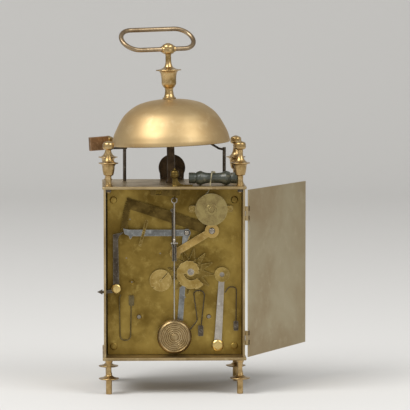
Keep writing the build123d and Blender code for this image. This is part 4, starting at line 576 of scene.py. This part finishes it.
# %% Toggle finish
def stained_wood(name, base, dark, worn):
    """Turned wood under dark stain and wax: grain lines along the toggle, worn pale in patches."""
    material = bpy.data.materials.new(name)
    material.use_nodes = True
    tree = material.node_tree
    tree.nodes.clear()
    place = add(tree, "ShaderNodeTexCoord").outputs["Object"]
    stretch = add(tree, "ShaderNodeMapping", values={"Scale": (0.12, 1.0, 1.0)}, links={"Vector": place})
    grain = add(tree, "ShaderNodeTexNoise", values={"Scale": per_metre(1.0), "Detail": 4.0, "Roughness": 0.6},
                links={"Vector": stretch.outputs["Vector"]})
    patches = add(tree, "ShaderNodeTexNoise", values={"Scale": per_metre(7.0), "Detail": 4.0},
                  links={"Vector": place})
    worn_away = add(tree, "ShaderNodeMapRange", {"interpolation_type": "SMOOTHSTEP"},
                    {"From Min": 0.56, "From Max": 0.74, "To Min": 0.0, "To Max": 0.7},
                    {"Value": patches.outputs["Fac"]})
    first = add(tree, "ShaderNodeMix", {"data_type": "RGBA"}, {6: linear(base), 7: linear(dark)},
                {0: grain.outputs["Fac"]})
    colour = add(tree, "ShaderNodeMix", {"data_type": "RGBA"}, {7: linear(worn)},
                 {0: worn_away.outputs["Result"], 6: first.outputs[2]})
    bump = add(tree, "ShaderNodeBump", values={"Strength": 0.4, "Distance": 0.05 * MM},
               links={"Height": grain.outputs["Fac"]})
    shader = add(tree, "ShaderNodeBsdfPrincipled",
                 values={"Roughness": 0.36, "IOR": 1.5, "Coat Weight": 0.3, "Coat Roughness": 0.25},
                 links={"Base Color": colour.outputs[2], "Normal": bump.outputs["Normal"]})
    add(tree, "ShaderNodeOutputMaterial", links={"Surface": shader.outputs["BSDF"]})
    return material


green_wood = stained_wood("turned_wood_bottle_green", "#4d5348", "#2c302a", "#86806a")

# %% Toggle and knot
HALF = 41.5 / 2
R = 6.05
TOGGLE_X = 33.3
TOGGLE_Y = -29.4
SEAT_GAP = 0.06
KNOT_SCALE = 0.52
KNOT_CORD_RADIUS = 0.5
WAIST = R - 1.75
TOGGLE = [(0, -HALF), (R - 1.9, -HALF), (R - 1.3, -HALF + 0.6, 0.1), (R - 1.4, -HALF + 5.0),
          (R - 1.8, -HALF + 5.8), (R, -HALF + 9.4, 0.3), (R, -HALF + 10.4, 0.05), (WAIST, -3.0, -0.5),
          (WAIST, 3.0), (R, HALF - 10.4, -0.5), (R, HALF - 9.4, 0.05), (R - 1.8, HALF - 5.8, 0.3),
          (R - 1.4, HALF - 5.0), (R - 1.3, HALF - 0.6), (R - 1.9, HALF, 0.1), (0, HALF)]
toggle_place = np.array([TOGGLE_X, TOGGLE_Y, ROOF + R + SEAT_GAP]) * MM
toggle = finished("toggle", turned(TOGGLE, toggle_place, (1, 0, 0)), "case", green_wood, "toggle_wood",
                  "pull_toggle")


def knot_line(turns=240):
    """A trefoil: x = sin s + 2 sin 2s, y = cos s - 2 cos 2s, z = -0.9 sin 3s."""
    s = np.linspace(0, 2 * np.pi, turns, endpoint=False)
    return np.stack([np.sin(s) + 2 * np.sin(2 * s), np.cos(s) - 2 * np.cos(2 * s), -0.9 * np.sin(3 * s)], 1)


knot_centre = np.array([TOGGLE_X, TOGGLE_Y, ROOF + R + WAIST + 0.6]) * MM
knot_points, knot_faces = tube(knot_line() * KNOT_SCALE * MM + knot_centre, KNOT_CORD_RADIUS * MM, 10,
                               closed=True)
knot = mesh_piece("cord_knot", knot_points, knot_faces, "case")


# %% [markdown]
# ### Cord finish
# Two threads twisted together: slanting ridges a millimetre apart, matt, the colour of old string
# that has rubbed against green wax.

# %% Thread
def thread(name, base, dark):
    """Twisted thread: bands across the cord's length from a fine wave, with fuzz in the colour."""
    material = bpy.data.materials.new(name)
    material.use_nodes = True
    tree = material.node_tree
    tree.nodes.clear()
    place = add(tree, "ShaderNodeTexCoord").outputs["Object"]
    twist = add(tree, "ShaderNodeTexWave", {"bands_direction": "DIAGONAL"},
                {"Scale": per_metre(0.9) / WAVE_RINGS, "Distortion": 1.5, "Detail": 2.0}, {"Vector": place})
    colour = add(tree, "ShaderNodeMix", {"data_type": "RGBA"}, {6: linear(base), 7: linear(dark)},
                 {0: twist.outputs["Fac"]})
    bump = add(tree, "ShaderNodeBump", values={"Strength": 0.7, "Distance": 0.15 * MM},
               links={"Height": twist.outputs["Fac"]})
    shader = add(tree, "ShaderNodeBsdfPrincipled", values={"Roughness": 0.85, "Sheen Weight": 0.3},
                 links={"Base Color": colour.outputs[2], "Normal": bump.outputs["Normal"]})
    add(tree, "ShaderNodeOutputMaterial", links={"Surface": shader.outputs["BSDF"]})
    return material


string = thread("twisted_thread", "#a39a78", "#6f684e")
cord_curve.materials.append(string)
knot.data.materials.append(string)


# %% [markdown]
# ## The dial
# The far side carries a domed dial of fired enamel, white with a hint of warmth and very glossy,
# in a turned brass ring. Its numerals lie under the glaze, so they are flat shapes a hair above
# it; the minute marks are a ring of short strokes.

# %% Enamel
def glaze(name, base, shade):
    """Fired enamel: almost even colour with a faint cloud, and a clear wet gloss."""
    material = bpy.data.materials.new(name)
    material.use_nodes = True
    tree = material.node_tree
    tree.nodes.clear()
    place = add(tree, "ShaderNodeTexCoord").outputs["Object"]
    cloud = add(tree, "ShaderNodeTexNoise", values={"Scale": per_metre(30.0), "Detail": 3.0},
                links={"Vector": place})
    colour = add(tree, "ShaderNodeMix", {"data_type": "RGBA"}, {6: linear(base), 7: linear(shade)},
                 {0: cloud.outputs["Fac"]})
    ripple = add(tree, "ShaderNodeTexNoise", values={"Scale": per_metre(6.0)}, links={"Vector": place})
    bump = add(tree, "ShaderNodeBump", values={"Strength": 0.15, "Distance": 0.05 * MM},
               links={"Height": ripple.outputs["Fac"]})
    shader = add(tree, "ShaderNodeBsdfPrincipled", values={"Roughness": 0.14, "IOR": 1.5},
                 links={"Base Color": colour.outputs[2], "Normal": bump.outputs["Normal"]})
    add(tree, "ShaderNodeOutputMaterial", links={"Surface": shader.outputs["BSDF"]})
    return material


white_enamel = glaze("fired_enamel_white", "#f0ede3", "#e6e1d2")
black_enamel = glaze("fired_enamel_black", "#1b1a1c", "#26242a")

# %% Dial and bezel
DIAL_Z = 104.2
DIAL_Y = 46.15
DIAL_R = 48.5
DIAL_RISE = 3.4
HAND_HOLE = 3.9
INK_LIFT = 0.06
DIAL = [(HAND_HOLE, DIAL_RISE - 1.0), (DIAL_R, 0, -0.9), (DIAL_R, 1.0), (HAND_HOLE, DIAL_RISE, 0.9),
        (HAND_HOLE, DIAL_RISE - 1.0)]
BEZEL = [(48.6, 0), (53.5, 0), (53.5, 1.0), (52.3, 2.6, 0.4), (51.5, 2.4), (48.9, 1.6, -0.4),
         (47.1, 2.4, 0.3), (47.1, 1.4), (48.6, 1.3), (48.6, 0)]
dial_place = np.array([0, DIAL_Y, DIAL_Z]) * MM
finished("dial_enamel", turned(DIAL, dial_place, (0, 1, 0), 128), "case", white_enamel, "enamel", "dial")
finished("bezel_ring", turned(BEZEL, dial_place, (0, 1, 0), 128), "case", turned_brass, "turned_brass",
         "dial_bezel")


def dome_height(radius):
    """Height of the dial's face at a radius (mm): a line from rim to hole plus the dome's bulge."""
    t = (DIAL_R - radius) / (DIAL_R - HAND_HOLE)
    return 1.0 + (DIAL_RISE - 1.0) * t + 4 * 0.9 * t * (1 - t)


# %% Minute marks
def minute_marks(inner=44.4, outer=45.8, width=0.28, heavy=0.75):
    """Sixty strokes on the dome, every fifth one broader: quads between two radii at an angle."""
    number = np.arange(60)
    angle = number * np.pi / 30
    half = np.where(number % 5 == 0, heavy, width) / 2
    radial = np.stack([np.sin(angle), np.cos(angle)], 1)
    across = np.stack([np.cos(angle), -np.sin(angle)], 1)
    quads = []
    for radius, side in ((inner, -1), (outer, -1), (outer, 1), (inner, 1)):
        flat = radial * radius + across * (side * half)[:, None]
        height = np.full(60, dome_height(radius) + INK_LIFT)
        quads.append(np.stack([flat[:, 0], height, flat[:, 1]], 1))
    points = np.stack(quads, 1).reshape(-1, 3) * MM + dial_place
    return points, np.arange(240).reshape(60, 4)


marks_points, marks_faces = minute_marks()
marks = mesh_piece("minute_marks", marks_points, marks_faces, "case")
marks.data.materials.append(black_enamel)

# %% Hour numerals
NUMERAL_SIZE = 9.5
NUMERAL_RADIUS = 38.0
NUMERALS = ["I", "II", "III", "IIII", "V", "VI", "VII", "VIII", "IX", "X", "XI", "XII"]
numeral_points, numeral_faces, counted = [], [], 0
for hour, word in enumerate(NUMERALS, 1):
    text = bpy.data.curves.new("numeral", "FONT")
    text.body = word
    text.size = NUMERAL_SIZE
    text.align_x = "CENTER"
    text.align_y = "CENTER"
    text.fill_mode = "FRONT"
    holder = bpy.data.objects.new("numeral", text)
    flat = bpy.data.meshes.new_from_object(holder)
    xy = np.zeros(len(flat.vertices) * 3)
    flat.vertices.foreach_get("co", xy)
    xy = xy.reshape(-1, 3)[:, :2]
    xy = xy - (xy.max(0) + xy.min(0)) / 2
    angle = hour * np.pi / 6
    outward = xy[:, 1] + NUMERAL_RADIUS
    sideways = -xy[:, 0] * np.cos(angle) - outward * np.sin(angle)
    upwards = -xy[:, 0] * np.sin(angle) + outward * np.cos(angle)
    height = dome_height(np.hypot(sideways, upwards)) + INK_LIFT
    numeral_points.append(np.stack([sideways, height, upwards], 1) * MM + dial_place)
    faces = [[counted + i for i in polygon.vertices] for polygon in flat.polygons]
    numeral_faces += faces
    counted += len(xy)
    bpy.data.objects.remove(holder)
numerals_mesh = bpy.data.meshes.new("hour_numerals")
numerals_mesh.from_pydata(np.concatenate(numeral_points).tolist(), [], numeral_faces)
numerals_mesh.materials.append(black_enamel)
numerals = bpy.data.objects.new("hour_numerals", numerals_mesh)
bpy.context.scene.collection.objects.link(numerals)
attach(numerals, "case")
print("numerals", counted, "points")

# %% [markdown]
# ## Studio
# The clock stands on a pale sheet that curves up behind it, so no edge shows between floor and
# wall. One broad lamp hangs above and to the left of the camera, a weaker one fills from the
# right, and the world gives the rest.

# %% Backdrop
def backdrop_shader(name, base):
    """Matt paper of one even colour."""
    material = bpy.data.materials.new(name)
    material.use_nodes = True
    tree = material.node_tree
    tree.nodes.clear()
    shader = add(tree, "ShaderNodeBsdfPrincipled",
                 values={"Base Color": linear(base), "Roughness": 0.9, "Specular IOR Level": 0.2})
    add(tree, "ShaderNodeOutputMaterial", links={"Surface": shader.outputs["BSDF"]})
    return material


def sweep_sheet():
    """Floor, a quarter round and wall: one profile in y and z carried along x."""
    radius, far, tall, near, half_wide = 1.2, 2.2, 4.0, -4.5, 4.0
    turn = np.linspace(-np.pi / 2, 0, 24)
    bend = np.stack([far + radius * np.cos(turn), radius + radius * np.sin(turn)], 1)
    profile = np.concatenate([[(near, 0.0)], bend, [(far + radius, tall)]])
    x = np.array([-half_wide, half_wide])
    points = np.stack([np.broadcast_to(x[None, :], (len(profile), 2)),
                       np.broadcast_to(profile[:, :1], (len(profile), 2)),
                       np.broadcast_to(profile[:, 1:], (len(profile), 2))], -1).reshape(-1, 3)
    return points, grid_faces(len(profile), 2)[:, ::-1]


sheet_mesh = bpy.data.meshes.new("paper_sweep")
sweep_points, sweep_quads = sweep_sheet()
sheet_mesh.from_pydata(sweep_points.tolist(), [], sweep_quads.tolist())
sheet_mesh.polygons.foreach_set("use_smooth", np.ones(len(sheet_mesh.polygons), bool))
sheet_mesh.materials.append(backdrop_shader("studio_paper", "#d3d2d0"))
paper = bpy.data.objects.new("paper_sweep", sheet_mesh)
bpy.context.scene.collection.objects.link(paper)


# %% Lamps
def lamp(name, place, aim, size, power):
    """A square area lamp that faces the point it is aimed at."""
    data = bpy.data.lights.new(name, "AREA")
    data.size = size
    data.energy = power
    holder = bpy.data.objects.new(name, data)
    bpy.context.scene.collection.objects.link(holder)
    holder.location = place
    away = np.array(place) - np.array(aim)
    heading = np.arctan2(away[1], away[0]) + np.pi / 2
    holder.rotation_euler = (np.arccos(away[2] / np.linalg.norm(away)), 0.0, heading)
    return holder


CLOCK_MIDDLE = (0, 0, 0.15)
lamp("left_lamp", (-1.5, -1.2, 2.3), CLOCK_MIDDLE, size=1.7, power=68)
lamp("right_lamp", (1.5, -1.4, 1.8), CLOCK_MIDDLE, size=1.6, power=30)
world = bpy.data.worlds.new("studio")
bpy.context.scene.world = world
world.use_nodes = True
world.node_tree.nodes["Background"].inputs["Color"].default_value = linear("#f0efec")
world.node_tree.nodes["Background"].inputs["Strength"].default_value = 0.62
bpy.context.scene.view_settings.view_transform = "Standard"
